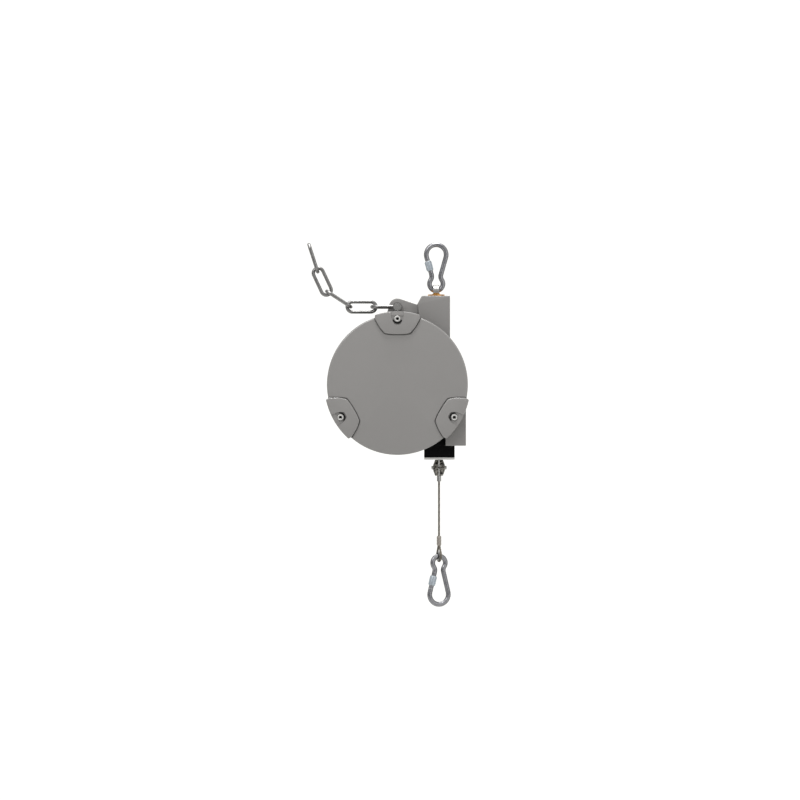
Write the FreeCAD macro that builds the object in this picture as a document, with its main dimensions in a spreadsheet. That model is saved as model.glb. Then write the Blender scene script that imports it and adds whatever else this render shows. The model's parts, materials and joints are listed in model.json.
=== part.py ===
import FreeCAD, Part
import math
import os
import re

import Sketcher
from FreeCAD import Placement, Rotation, Vector

# Hanging spring balancer: a rope drum turned by a flat spiral spring lifts a tool on a wire rope.
# The origin is the bearing point inside the top bow of the upper snap hook.
# +Z points up, +X to the rope side, and the round front cover faces -Y.

os.makedirs("parts", exist_ok=True)
doc = FreeCAD.newDocument("tool_balancer")
sheet = doc.addObject("Spreadsheet::Sheet", "Sizes")

# Driving dimensions in millimetres, angles in degrees
SIZES = {
    # snap hooks of bent wire, with a screw-locked gate
    "hook_wire_radius": 3.5,
    "wide_bow_radius": 14.0,
    "narrow_bow_radius": 9.5,
    "waist_half_width": 6.3,
    "waist_rise": 10.4,
    "upper_bow_distance": 41.0,
    "lower_bow_distance": 44.5,
    "lower_hook_angle": 20.0,
    "gate_pin_radius": 1.2,
    "tongue_thickness": 2.6,
    "fork_gap": 0.15,
    "nose_gap": 0.35,
    "nose_stub": 5.0,
    "sleeve_wall": 1.5,
    "sleeve_length": 13.5,
    "sleeve_start": 5.0,
    "running_gap": 0.06,
    "wire_gap": 0.3,
    # swivel eye and its bush in the suspension column
    "eye_wall": 4.2,
    "eye_thickness": 8.4,
    "eye_hole_gap": 1.15,
    "eye_inner_round": 3.4,
    "eye_outer_round": 0.7,
    "eye_shank_radius": 6.0,
    "bush_radius": 12.0,
    "bush_rise": 2.0,
    "bush_bore_wall": 2.0,
    "swivel_nut_radius": 10.4,
    "swivel_nut_height": 9.0,
    "swivel_washer_radius": 11.0,
    "swivel_washer_thickness": 2.0,
    "swivel_pin_radius": 1.5,
    # the drum and the rope stand a little behind the hook, nearer the centre of gravity
    "hang_shift": 8.0,
    "rope_side": 4.0,
    # suspension column of the housing
    "column_left": 20.3,
    "column_right": 19.3,
    "eye_stem": 7.5,
    "column_overlook": 26.3,
    "column_depth": 38.0,
    "column_corner": 4.0,
    "column_roof": 11.0,
    "column_cavity_height": 27.0,
    "column_cavity_width": 26.0,
    "column_notch_side": 26.9,
    "column_notch_step": 12.1,
    # ear for the safety chain
    "ear_radius": 11.9,
    "ear_gap": 10.9,
    "ear_thickness": 12.0,
    "ear_right_angle": 72.0,
    "ear_left_angle": 165.0,
    # housing: spring chamber in front, drum barrel behind
    "cover_front": 60.0,
    "cover_wall": 4.0,
    "chamber_gap": 2.5,
    "chamber_wall": 4.0,
    "chamber_depth": 33.0,
    "web_thickness": 5.0,
    "web_hole_radius": 21.0,
    "barrel_gap": 2.4,
    "barrel_wall": 4.5,
    "barrel_depth": 37.0,
    "rear_flange_ledge": 7.5,
    "rear_flange_thickness": 6.0,
    # lower block with the rope outlet and the worm
    "worm_wall": 2.4,
    "block_left": 20.0,
    "block_lift": 12.7,
    "block_half_depth": 19.0,
    "block_top_step": 20.8,
    "worm_block_rise": 21.2,
    "worm_block_left": 16.5,
    "worm_block_front": 52.0,
    "block_corner": 3.0,
    "hollow_width": 10.0,
    "hollow_height": 13.0,
    "hollow_depth": 14.0,
    "rope_channel_half": 9.0,
    # front cover with three raised lobes
    "cover_overhang": 14.4,
    "cover_rim": 4.5,
    "cover_skirt": 14.0,
    "cover_skirt_wall": 2.5,
    "lobe_rise": 3.0,
    "lobe_overhang": 3.6,
    "lobe_length": 28.4,
    "lobe_outer_half": 31.5,
    "lobe_inner_half": 17.5,
    "lobe_corner": 5.0,
    "notch_half": 8.2,
    "notch_drop": 1.0,
    "screw_edge": 6.7,
    "crescent_radius": 6.3,
    # cap screws that hold the front cover
    "cap_screw_radius": 2.5,
    "cap_head_radius": 4.25,
    "cap_head_height": 5.0,
    "cap_socket_radius": 2.2,
    "cap_socket_depth": 2.6,
    "cap_screw_length": 12.0,
    "boss_radius": 7.0,
    "boss_depth": 24.0,
    # rear cover and its screws
    "rear_cover_thickness": 4.0,
    "rear_screw_edge": 4.5,
    "rear_screw_radius": 2.0,
    "rear_head_radius": 3.6,
    "rear_head_height": 2.6,
    "rear_screw_length": 9.0,
    # ball bearings of the drum shaft
    "bearing_outer_radius": 16.0,
    "bearing_bore_radius": 7.5,
    "bearing_width": 9.0,
    "bearing_ring": 2.6,
    "ball_radius": 2.3,
    "bearing_boss_wall": 3.0,
    # drum, shaft and wound rope
    "rope_radius": 1.5,
    "rope_inset": 7.4,
    "rope_turns": 7.0,
    "rope_pitch": 3.6,
    "drum_flange_thickness": 3.0,
    "drum_flange_rise": 5.0,
    "drum_rim": 5.0,
    "drum_web": 6.0,
    "drum_hub_radius": 19.0,
    "drum_hole_radius": 4.2,
    "drum_hole_circle": 38.0,
    "shaft_radius": 10.0,
    "key_width": 6.0,
    "key_height": 6.0,
    "key_length": 22.0,
    # spring case, mainspring and arbor
    "wheel_rim": 9.0,
    "case_wall": 2.5,
    "arbor_radius": 20.5,
    "spring_thickness": 1.4,
    "spring_turns": 7.0,
    "spring_side_gap": 1.0,
    "spring_end_gap": 0.4,
    # worm drive that sets the spring tension
    "gear_module": 2.5,
    "wheel_teeth": 60.0,
    "wheel_width": 12.0,
    "tooth_share": 0.42,
    "worm_pitch_radius": 8.0,
    "worm_length": 30.0,
    "worm_shaft_radius": 4.5,
    "worm_bush_wall": 2.0,
    "worm_bush_length": 8.0,
    "worm_cavity_gap": 1.2,
    "worm_hex_radius": 2.9,
    "worm_hex_depth": 8.0,
    # drum lock in the rear cover
    "lock_radius": 3.5,
    "lock_boss_radius": 8.0,
    "lock_boss_height": 12.0,
    "lock_knob_radius": 9.0,
    "lock_knob_height": 9.0,
    "lock_travel": 7.0,
    "lock_tip_gap": 2.0,
    # rope guide under the block
    "guide_left": 16.9,
    "guide_right": 25.8,
    "guide_neck_right": 15.6,
    "guide_flange": 16.6,
    "guide_neck_height": 22.0,
    "guide_half_depth": 18.0,
    "guide_neck_half_depth": 13.0,
    "guide_neck_gap": 0.2,
    "guide_bore_radius": 3.0,
    "guide_mouth_radius": 6.0,
    "wear_plate_thickness": 3.2,
    "guide_screw_radius": 2.0,
    "guide_screw_head": 3.9,
    "guide_screw_side": 12.5,
    "guide_screw_offset": 15.5,
    "guide_screw_length": 30.0,
    # rope stop, crimped ferrule and loop
    "stop_gap": 0.4,
    "stop_radius": 8.1,
    "stop_height": 22.4,
    "stop_waist_radius": 5.6,
    "stop_band_height": 9.0,
    "stop_split": 0.6,
    "stop_screw_radius": 1.6,
    "stop_screw_head_radius": 2.6,
    "stop_screw_head_height": 2.4,
    "stop_screw_side": 4.6,
    "stop_boss_radius": 3.4,
    "stop_boss_reach": 8.3,
    "stop_sleeve_radius": 3.1,
    "stop_sleeve_length": 8.0,
    "rope_run": 127.5,
    "ferrule_length": 13.6,
    "ferrule_half_width": 3.8,
    "ferrule_half_depth": 3.3,
    "thimble_radius": 5.6,
    "thimble_wall": 0.9,
    "thimble_gap": 1.2,
    "loop_drop": 24.9,
    # long-link safety chain and its shackle
    "link_wire_radius": 2.5,
    "link_inner_length": 35.5,
    "link_inner_half_width": 4.6,
    "shackle_wire_radius": 2.7,
    "shackle_length": 35.7,
    "shackle_half_width": 10.6,
    "shackle_eye_radius": 6.4,
    "shackle_eye_thickness": 5.6,
    "shackle_bolt_radius": 3.0,
    "shackle_head_radius": 5.9,
    "shackle_head_height": 4.0,
    "link_one_angle": 180.0,
    "link_two_angle": 147.0,
    "link_three_angle": 115.0,
    "link_four_angle": 108.0,
}

# Sizes that follow from the driving ones
DERIVED = {
    "wheel_radius": "gear_module * wheel_teeth / 2",
    "case_radius": "wheel_radius - wheel_rim",
    "rope_pitch_radius": "case_radius - rope_inset",
    "drum_axis_side": "rope_pitch_radius - rope_side",
    "chamber_radius": "wheel_radius + gear_module + chamber_gap",
    "cover_radius": "chamber_radius + chamber_wall + cover_overhang",
    "lobe_radius": "cover_radius + lobe_overhang",
    "lobe_inner_radius": "cover_radius - lobe_length",
    "screw_circle_radius": "cover_radius - screw_edge",
    "column_top_drop": "wide_bow_radius + upper_bow_distance + narrow_bow_radius"
                       " - hook_wire_radius + eye_stem",
    "drum_axis_drop": "column_top_drop + column_overlook + cover_radius",
    "column_notch_drop": "column_top_drop + column_notch_step",
    "ear_rise": "cover_radius + ear_gap",
    "barrel_radius": "rope_pitch_radius + drum_flange_rise + barrel_gap",
    "rear_flange_radius": "barrel_radius + barrel_wall + rear_flange_ledge",
    "rear_screw_circle": "rear_flange_radius - rear_screw_edge",
    "block_bottom_drop": "drum_axis_drop + cover_radius - block_lift",
    "block_top_drop": "drum_axis_drop + block_top_step",
    "worm_block_top_drop": "drum_axis_drop - worm_block_rise",
    "ferrule_top_drop": "block_bottom_drop + rope_run",
    "lower_hook_top_drop": "ferrule_top_drop + loop_drop",
    "cover_inner": "cover_front - cover_wall",
    "web_front": "cover_inner - chamber_depth",
    "web_back": "web_front - web_thickness",
    "barrel_back": "barrel_depth - web_back",
    "rear_face": "barrel_back + rear_cover_thickness",
    "drum_half": "rope_turns * rope_pitch / 2",
    "drum_rim_radius": "rope_pitch_radius - rope_radius",
    "drum_flange_radius": "rope_pitch_radius + drum_flange_rise",
    "bearing_boss_radius": "bearing_outer_radius + bearing_boss_wall",
    "rear_bearing_end": "barrel_back + bearing_width + 1",
    "case_back": "web_front + 3",
    "case_front": "cover_inner - 2",
    "wheel_place": "case_back + 11",
    "worm_side": "wheel_radius + worm_pitch_radius - drum_axis_side",
    "block_right": "worm_side + worm_pitch_radius + gear_module + worm_wall",
    "thread_clear": "cap_screw_radius + running_gap",
    "sleeve_bore": "hook_wire_radius + running_gap",
}

WORD = re.compile(r"[a-z_]{3,}")
FUNCTIONS = {"sin", "cos", "tan", "sqrt", "max", "min"}


def write_sizes():
    """Put each driving dimension in a cell of the sheet, with its name as the alias."""
    for row, (name, number) in enumerate(SIZES.items(), start=1):
        sheet.set(f"A{row}", name)
        sheet.set(f"B{row}", str(number))
        sheet.setAlias(f"B{row}", name)
    doc.recompute()


def bound(text):
    """Spell an expression of size names as one that reads the sheet."""
    def spell(found):
        word = found.group(0)
        if word in DERIVED:
            return "(" + bound(DERIVED[word]) + ")"
        if word in FUNCTIONS:
            return word
        return "Sizes." + word
    return WORD.sub(spell, text)


def size(text):
    """The number that an expression of size names has now."""
    return float(sheet.evalExpression(bound(text)))


def origin_plane(body, role):
    return next(f for f in body.Origin.OriginFeatures if f.Role == role)


def new_body(label, side="0", depth="0", rise="0"):
    """A body whose own origin stands at the given place."""
    body = doc.addObject("PartDesign::Body", label)
    body.Label = label
    for axis, text in (("x", side), ("y", depth), ("z", rise)):
        if text != "0":
            body.setExpression(f"Placement.Base.{axis}", bound(text))
    return body


def on_drum_axis(label):
    return new_body(label, "-drum_axis_side", "hang_shift", "-drum_axis_drop")


def new_sketch(body, role, name, offset="0"):
    """A sketch on one of the body's origin planes, moved along the plane's normal."""
    sketch = body.newObject("Sketcher::SketchObject", name)
    sketch.AttachmentSupport = (origin_plane(body, role), [""])
    sketch.MapMode = "FlatFace"
    if offset != "0":
        sketch.setExpression("AttachmentOffset.Base.z", bound(offset))
    return sketch


def hold(sketch, kind, *where, text):
    """Add one dimension to the sketch and bind it to the sheet."""
    index = sketch.addConstraint(Sketcher.Constraint(kind, *where, size(text)))
    sketch.setExpression(f"Constraints[{index}]", bound(text))


def add_outline(sketch, points):
    """Draw a closed outline; a point with a radius and a turn starts an arc to the next point."""
    spots = [Vector(size(p[0]), size(p[1]), 0) for p in points]
    edges = []
    starts = []
    for here, point in enumerate(points):
        first, last = spots[here], spots[(here + 1) % len(spots)]
        if len(point) == 2:
            edges.append(sketch.addGeometry(Part.LineSegment(first, last)))
            starts.append((1, 2))
            continue
        radius = size(point[2])
        chord = last - first
        bow = radius - math.sqrt(max(radius**2 - (chord.Length / 2) ** 2, 0))
        side = Vector(chord.y, -chord.x, 0).normalize()
        if point[3] == "left":
            side = -side
        arc = Part.Arc(first, first + chord / 2 + side * bow, last).toShape().Curve
        circle = Part.Circle(arc.Center, Vector(0, 0, 1), arc.Radius)
        low, high = (first, last) if point[3] == "right" else (last, first)
        edge = Part.ArcOfCircle(circle, circle.parameter(low), circle.parameter(high))
        edges.append(sketch.addGeometry(edge))
        starts.append((1, 2) if point[3] == "right" else (2, 1))
        hold(sketch, "Radius", edges[-1], text=point[2])
    for here, edge in enumerate(edges):
        following = (here + 1) % len(edges)
        joined = (edge, starts[here][1], edges[following], starts[following][0])
        sketch.addConstraint(Sketcher.Constraint("Coincident", *joined))
    for here, point in enumerate(points):
        place = (-1, 1, edges[here], starts[here][0])
        hold(sketch, "DistanceX", *place, text=point[0])
        hold(sketch, "DistanceY", *place, text=point[1])


def add_circle(sketch, side, rise, radius):
    centre = Vector(size(side), size(rise), 0)
    circle = sketch.addGeometry(Part.Circle(centre, Vector(0, 0, 1), size(radius)))
    hold(sketch, "DistanceX", -1, 1, circle, 3, text=side)
    hold(sketch, "DistanceY", -1, 1, circle, 3, text=rise)
    hold(sketch, "Radius", circle, text=radius)


def add_box(sketch, left, low, right, high):
    add_outline(sketch, [(left, low), (right, low), (right, high), (left, high)])


def new_pad(body, sketch, length):
    """Thicken a sketch on the XZ plane from its place towards the back."""
    pad = body.newObject("PartDesign::Pad", sketch.Name + "_pad")
    pad.Profile = sketch
    pad.setExpression("Length", bound(length))
    pad.Reversed = True
    doc.recompute()
    return pad


def new_pocket(body, sketch, depth, backwards=False):
    """Cut a sketch towards the back, and see that it takes material away."""
    before = body.Shape.Volume
    pocket = body.newObject("PartDesign::Pocket", sketch.Name + "_pocket")
    pocket.Profile = sketch
    pocket.setExpression("Length", bound(depth))
    pocket.Reversed = backwards
    doc.recompute()
    if body.Shape.Volume > before - 0.01:
        raise RuntimeError(sketch.Name + " cuts nothing")
    return pocket


def new_turned(body, sketch, kind="Revolution"):
    """Turn a sketch about its own vertical axis."""
    turned = body.newObject("PartDesign::" + kind, sketch.Name + "_turned")
    turned.Profile = sketch
    turned.ReferenceAxis = (sketch, ["V_Axis"])
    turned.Angle = 360
    doc.recompute()
    return turned


def new_polar(body, originals, name, count):
    """Repeat features evenly about the body's Y axis."""
    pattern = body.newObject("PartDesign::PolarPattern", name)
    pattern.Originals = originals
    pattern.Axis = (next(f for f in body.Origin.OriginFeatures if f.Role == "Y_Axis"), [""])
    pattern.Angle = 360
    pattern.Occurrences = count
    body.Tip = pattern
    doc.recompute()
    return pattern


def turned_body(label, profile, place=("0", "0", "0"), axis="Y"):
    """A body made by turning one profile of (radius, height) about the Y or the Z axis."""
    body = new_body(label, *place)
    sketch = new_sketch(body, "XY_Plane" if axis == "Y" else "XZ_Plane", label + "_profile")
    add_outline(sketch, profile)
    new_turned(body, sketch)
    return body


DRUM_AXIS = ("-drum_axis_side", "hang_shift", "-drum_axis_drop")
SUB_PARTS = []


def keep(body):
    """Put the body on the list of sub-parts that are written out."""
    SUB_PARTS.append(body)
    return body


def keep_shape(label, shape, place=None, behind=True):
    """Hold a shape built with Part's own functions as a sub-part, behind the hook or under it."""
    feature = doc.addObject("Part::Feature", label)
    feature.Label = label
    feature.Shape = shape
    back = Placement(Vector(0, size("hang_shift") if behind else 0, 0), Rotation())
    feature.Placement = back.multiply(place or Placement()).multiply(shape.Placement)
    return keep(feature)


write_sizes()

ALONG_X = Vector(1, 0, 0)
ALONG_Y = Vector(0, 1, 0)
ALONG_Z = Vector(0, 0, 1)
FRONT = Vector(0, -1, 0)
DRUM_CENTRE = Vector(-size("drum_axis_side"), 0, -size("drum_axis_drop"))


def ring_profile(inner, outer, front, back):
    """A rectangle to be turned; front and back are places along the axis."""
    return [(inner, front), (outer, front), (outer, back), (inner, back)]


# Housing: one casting with the spring chamber, drum barrel, column, ear and lower block


def make_housing():
    body = on_drum_axis("housing")
    sketch = new_sketch(body, "XY_Plane", "housing_walls")
    chamber = "chamber_radius + chamber_wall"
    barrel = "barrel_radius + barrel_wall"
    add_outline(sketch, [
        ("chamber_radius", "-cover_inner"),
        (chamber, "-cover_inner"),
        (chamber, "-web_back"),
        (barrel, "-web_back"),
        (barrel, "barrel_back - rear_flange_thickness"),
        ("rear_flange_radius", "barrel_back - rear_flange_thickness"),
        ("rear_flange_radius", "barrel_back"),
        ("barrel_radius", "barrel_back"),
        ("barrel_radius", "-web_back"),
        ("web_hole_radius", "-web_back"),
        ("web_hole_radius", "-web_front"),
        ("chamber_radius", "-web_front"),
    ])
    new_turned(body, sketch)

    column = new_sketch(body, "XZ_Plane", "column",
                        "column_depth / 2 + hang_shift")
    left = "drum_axis_side - column_left"
    right = "drum_axis_side + column_right"
    top = "drum_axis_drop - column_top_drop"
    notch_side = "drum_axis_side - column_notch_side"
    notch_rise = "drum_axis_drop - column_notch_drop"
    add_outline(column, [
        (left, "chamber_radius - 15"),
        (right, "chamber_radius - 30"),
        (right, top),
        (left, top),
        (f"{left} - column_corner", f"{top} - 1.75 * column_corner"),
        (notch_side, notch_rise),
    ])
    new_pad(body, column, "column_depth")

    ear = new_sketch(body, "XZ_Plane", "ear", "ear_thickness / 2 + hang_shift")
    add_outline(ear, [
        ("-ear_radius - 12", "chamber_radius - 8"),
        (notch_side, "chamber_radius - 8"),
        (notch_side, notch_rise),
        ("ear_radius * cos(ear_right_angle)", "ear_rise + ear_radius * sin(ear_right_angle)",
         "ear_radius", "right"),
        ("ear_radius * cos(ear_left_angle)", "ear_rise + ear_radius * sin(ear_left_angle)"),
        ("-ear_radius - 6", "chamber_radius + 8"),
    ])
    new_pad(body, ear, "ear_thickness")

    outlet = new_sketch(body, "XZ_Plane", "outlet_block", "block_half_depth")
    bottom = "drum_axis_drop - block_bottom_drop"
    block_right = "drum_axis_side + block_right"
    add_outline(outlet, [
        ("drum_axis_side - block_left", bottom),
        (block_right, bottom),
        (block_right, "drum_axis_drop - block_top_drop"),
        ("drum_axis_side - block_left", "-barrel_radius / 2"),
    ])
    new_pad(body, outlet, "block_half_depth + barrel_back - 1")

    worm_block = new_sketch(body, "XZ_Plane", "worm_block", "worm_block_front")
    add_outline(worm_block, [
        ("drum_axis_side + worm_block_left", bottom),
        (block_right, bottom),
        (block_right, "drum_axis_drop - worm_block_top_drop - block_corner"),
        (f"{block_right} - block_corner", "drum_axis_drop - worm_block_top_drop"),
        ("drum_axis_side + worm_block_left", "drum_axis_drop - worm_block_top_drop"),
    ])
    new_pad(body, worm_block, "worm_block_front - web_back")

    boss = new_sketch(body, "XZ_Plane", "screw_boss", "cover_inner")
    rim = "cover_radius - cover_skirt_wall - 1"
    add_outline(boss, [
        ("-boss_radius", "chamber_radius + 1"),
        ("boss_radius", "chamber_radius + 1"),
        ("boss_radius", rim),
        ("-boss_radius", rim),
    ])
    boss_pad = new_pad(body, boss, "boss_depth")
    drill = new_sketch(body, "XZ_Plane", "boss_hole", "cover_inner")
    add_circle(drill, "0", "screw_circle_radius", "thread_clear")
    boss_hole = new_pocket(body, drill, "cap_screw_length - cover_wall + 2")
    new_polar(body, [boss_pad, boss_hole], "three_bosses", 3)

    # the barrel and the chamber are opened again after the blocks went on
    clear = new_sketch(body, "XY_Plane", "inner_clear")
    add_outline(clear, ring_profile("web_hole_radius", "barrel_radius", "-web_back", "barrel_back"))
    new_turned(body, clear, "Groove")
    chamber_clear = new_sketch(body, "XY_Plane", "chamber_clear")
    add_outline(chamber_clear,
                ring_profile("web_hole_radius", "chamber_radius", "-cover_inner", "-web_front"))
    new_turned(body, chamber_clear, "Groove")

    skirt = new_sketch(body, "XY_Plane", "skirt_clear")
    add_outline(skirt, ring_profile("cover_radius - cover_skirt_wall - 0.5", "cover_radius + 20",
                                    "-worm_block_front - 1", "cover_skirt - cover_front + 0.5"))
    new_turned(body, skirt, "Groove")

    neck = new_sketch(body, "XZ_Plane", "guide_seat", "guide_neck_half_depth + guide_neck_gap")
    guide_left = "drum_axis_side - guide_left - guide_neck_gap"
    guide_right = "drum_axis_side + guide_neck_right + guide_neck_gap"
    neck_top = f"{bottom} + guide_neck_height + guide_neck_gap"
    add_box(neck, guide_left, f"{bottom} - 1", guide_right, neck_top)
    new_pocket(body, neck, "2 * (guide_neck_half_depth + guide_neck_gap)")
    channel = new_sketch(body, "XZ_Plane", "rope_channel", "drum_half + 2")
    rope_place = "drum_axis_side + rope_side"
    add_box(channel, f"{rope_place} - rope_channel_half", f"{bottom} + guide_neck_height - 1",
            f"{rope_place} + rope_channel_half", "-barrel_radius * 0.35")
    new_pocket(body, channel, "2 * drum_half + 4")

    hollow = new_sketch(body, "XZ_Plane", "block_hollow", "worm_block_front + 1")
    hollow_left = "drum_axis_side + worm_block_left"
    add_outline(hollow, [
        (f"{hollow_left} - 1", f"{bottom} - 1"),
        (f"{hollow_left} + hollow_width - 4", f"{bottom} - 1"),
        (f"{hollow_left} + hollow_width - 4", f"{bottom} + hollow_height - 6"),
        (f"{hollow_left} - 1", f"{bottom} + hollow_height"),
    ])
    new_pocket(body, hollow, "hollow_depth")

    worm = new_sketch(body, "XY_Plane", "worm_cavity", "-worm_length / 2 - 2")
    worm_place = "drum_axis_side + worm_side"
    add_circle(worm, worm_place, "-wheel_place",
               "worm_pitch_radius + gear_module + worm_cavity_gap")
    new_pocket(body, worm, "worm_length + 4", True)
    shaft_top = new_sketch(body, "XY_Plane", "worm_top_bore", "worm_length / 2 + 1")
    bush = "worm_shaft_radius + worm_bush_wall + running_gap"
    add_circle(shaft_top, worm_place, "-wheel_place", bush)
    new_pocket(body, shaft_top, "worm_bush_length", True)
    shaft_low = new_sketch(body, "XY_Plane", "worm_low_bore", "-worm_length / 2 - 1")
    add_circle(shaft_low, worm_place, "-wheel_place", bush)
    new_pocket(body, shaft_low, "100")

    eye_hole = new_sketch(body, "XZ_Plane", "ear_hole", "ear_thickness + hang_shift")
    add_circle(eye_hole, "0", "ear_rise", "shackle_bolt_radius + wire_gap")
    new_pocket(body, eye_hole, "2 * ear_thickness")

    bore = new_sketch(body, "XY_Plane", "swivel_bore", top)
    add_circle(bore, "drum_axis_side", "-hang_shift",
               "eye_shank_radius + bush_bore_wall + running_gap")
    new_pocket(body, bore, "column_roof + 1")
    cavity = new_sketch(body, "XZ_Plane", "nut_cavity",
                        "column_cavity_width / 2 + hang_shift")
    add_box(cavity, "drum_axis_side - column_cavity_width / 2",
            f"{top} - column_roof - column_cavity_height",
            "drum_axis_side + column_cavity_width / 2", f"{top} - column_roof")
    new_pocket(body, cavity, "column_cavity_width / 2 + column_depth")

    threads = new_sketch(body, "XY_Plane", "guide_threads", f"{bottom} - 1")
    for side, depth in guide_screw_spots():
        add_circle(threads, f"drum_axis_side + {side}", depth,
                   "guide_screw_radius + running_gap")
    new_pocket(body, threads, "guide_screw_length - guide_flange - wear_plate_thickness + 2",
               True)

    rear = new_sketch(body, "XZ_Plane", "rear_screw_hole",
                      "rear_flange_thickness + 1 - barrel_back")
    add_circle(rear, "rear_screw_circle * cos(30)", "rear_screw_circle * sin(30)",
               "rear_screw_radius + running_gap")
    rear_hole = new_pocket(body, rear, "rear_flange_thickness + 2")
    new_polar(body, [rear_hole], "six_rear_holes", 6)
    return keep(body)


def make_front_cover():
    body = on_drum_axis("front_cover")
    shell = new_sketch(body, "XY_Plane", "cover_shell")
    skirt = "cover_radius - cover_skirt_wall"
    skirt_end = "cover_skirt - cover_front"
    boss_end = "bearing_width + 1 - cover_inner"
    add_outline(shell, [
        ("0", "-cover_front"),
        ("cover_radius - cover_rim", "-cover_front", "cover_rim", "right"),
        ("cover_radius", "cover_rim - cover_front"),
        ("cover_radius", skirt_end),
        (skirt, skirt_end),
        (skirt, "-cover_inner"),
        ("bearing_boss_radius", "-cover_inner"),
        ("bearing_boss_radius", boss_end),
        ("bearing_outer_radius", boss_end),
        ("bearing_outer_radius", "1 - cover_inner"),
        ("0", "1 - cover_inner"),
    ])
    new_turned(body, shell)

    front = "cover_front + lobe_rise"
    lobe = new_sketch(body, "XZ_Plane", "lobe", front)
    rim_rise = "sqrt(lobe_radius ^ 2 - lobe_outer_half ^ 2)"
    add_outline(lobe, [
        ("-lobe_inner_half", "lobe_inner_radius + lobe_corner / 4"),
        ("lobe_corner - lobe_inner_half", "lobe_inner_radius"),
        ("lobe_inner_half - lobe_corner", "lobe_inner_radius"),
        ("lobe_inner_half", "lobe_inner_radius + lobe_corner / 4"),
        ("lobe_outer_half", f"{rim_rise} - lobe_corner", "lobe_radius * 3", "left"),
        ("lobe_outer_half", rim_rise, "lobe_radius", "right"),
        ("-lobe_outer_half", rim_rise),
        ("-lobe_outer_half", f"{rim_rise} - lobe_corner"),
    ])
    lobe_pad = new_pad(body, lobe, "lobe_rise + cover_wall")
    edge = new_sketch(body, "XZ_Plane", "lobe_edge", front)
    inner_rise = f"sqrt(({skirt}) ^ 2 - lobe_outer_half ^ 2)"
    add_outline(edge, [
        ("lobe_outer_half", inner_rise),
        ("lobe_outer_half", rim_rise, "lobe_radius", "right"),
        ("-lobe_outer_half", rim_rise),
        ("-lobe_outer_half", inner_rise, skirt, "left"),
    ])
    edge_pad = new_pad(body, edge, "lobe_rise + cover_skirt")
    notch = new_sketch(body, "XZ_Plane", "lobe_notch", front)
    low = "screw_circle_radius - notch_half * 0.1"
    add_outline(notch, [
        ("notch_half + 1", "lobe_radius + 1"),
        ("-notch_half - 1", "lobe_radius + 1"),
        ("-notch_half", low, "notch_half + 0.1", "right"),
        ("notch_half", low),
    ])
    notch_cut = new_pocket(body, notch, "notch_drop")
    seat = new_sketch(body, "XZ_Plane", "head_seat", front)
    add_circle(seat, "0", "screw_circle_radius", "cap_head_radius + wire_gap")
    seat_cut = new_pocket(body, seat, "lobe_rise + 1")
    crescent = new_sketch(body, "XZ_Plane", "crescent", front)
    add_outline(crescent, [
        ("-crescent_radius", "screw_circle_radius", "crescent_radius + 0.1", "right"),
        ("crescent_radius", "screw_circle_radius"),
    ])
    crescent_cut = new_pocket(body, crescent, "lobe_rise + 1")
    hole = new_sketch(body, "XZ_Plane", "cover_hole", front)
    add_circle(hole, "0", "screw_circle_radius", "cap_screw_radius + wire_gap")
    hole_cut = new_pocket(body, hole, "lobe_rise + cover_wall + 1")
    new_polar(body, [lobe_pad, edge_pad, notch_cut, seat_cut, crescent_cut, hole_cut],
              "three_lobes", 3)
    return keep(body)


def hexagon(radius, centre, normal):
    """A flat six-sided face with its corners on a circle."""
    turn = Rotation(ALONG_Z, normal)
    corners = []
    for step in range(7):
        angle = math.radians(60 * step)
        corners.append(centre + turn.multVec(Vector(math.cos(angle), math.sin(angle), 0)) * radius)
    return Part.Face(Part.makePolygon(corners))


def cap_screw(spot, out, head_radius, head_height, shank_radius, length, socket, socket_depth):
    """A socket head screw whose head rests at the spot and points outwards."""
    head = Part.makeCylinder(head_radius, head_height, spot, out)
    rim = [edge for edge in head.Edges if abs(edge.CenterOfMass.dot(out)
           - (spot + out * head_height).dot(out)) < 0.01 and edge.Closed]
    head = head.makeChamfer(head_height * 0.1, rim)
    shank = Part.makeCylinder(shank_radius, length, spot, -out)
    drive = hexagon(socket, spot + out * (head_height - socket_depth), out)
    return head.fuse(shank).cut(drive.extrude(out * socket_depth * 1.1)).removeSplitter()


def around_drum(count, first_angle, radius, place_y):
    """Spots evenly spaced on a circle about the drum axis."""
    spots = []
    for step in range(count):
        angle = math.radians(first_angle + 360 * step / count)
        spots.append(DRUM_CENTRE + Vector(radius * math.cos(angle), place_y,
                                          radius * math.sin(angle)))
    return spots


def make_cover_screws():
    place_y = 1 - size("cover_front")
    screws = []
    for spot in around_drum(3, 90, size("screw_circle_radius"), place_y):
        screws.append(cap_screw(spot, FRONT, size("cap_head_radius"), size("cap_head_height"),
                                size("cap_screw_radius"), size("cap_screw_length"),
                                size("cap_socket_radius"), size("cap_socket_depth")))
    keep_shape("cover_screws", Part.Compound(screws))


def make_rear_screws():
    screws = []
    for spot in around_drum(6, 30, size("rear_screw_circle"), size("rear_face")):
        screws.append(cap_screw(spot, ALONG_Y, size("rear_head_radius"),
                                size("rear_head_height"), size("rear_screw_radius"),
                                size("rear_screw_length"), size("rear_screw_radius"),
                                size("rear_head_height") / 2))
    keep_shape("rear_cover_screws", Part.Compound(screws))


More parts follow.
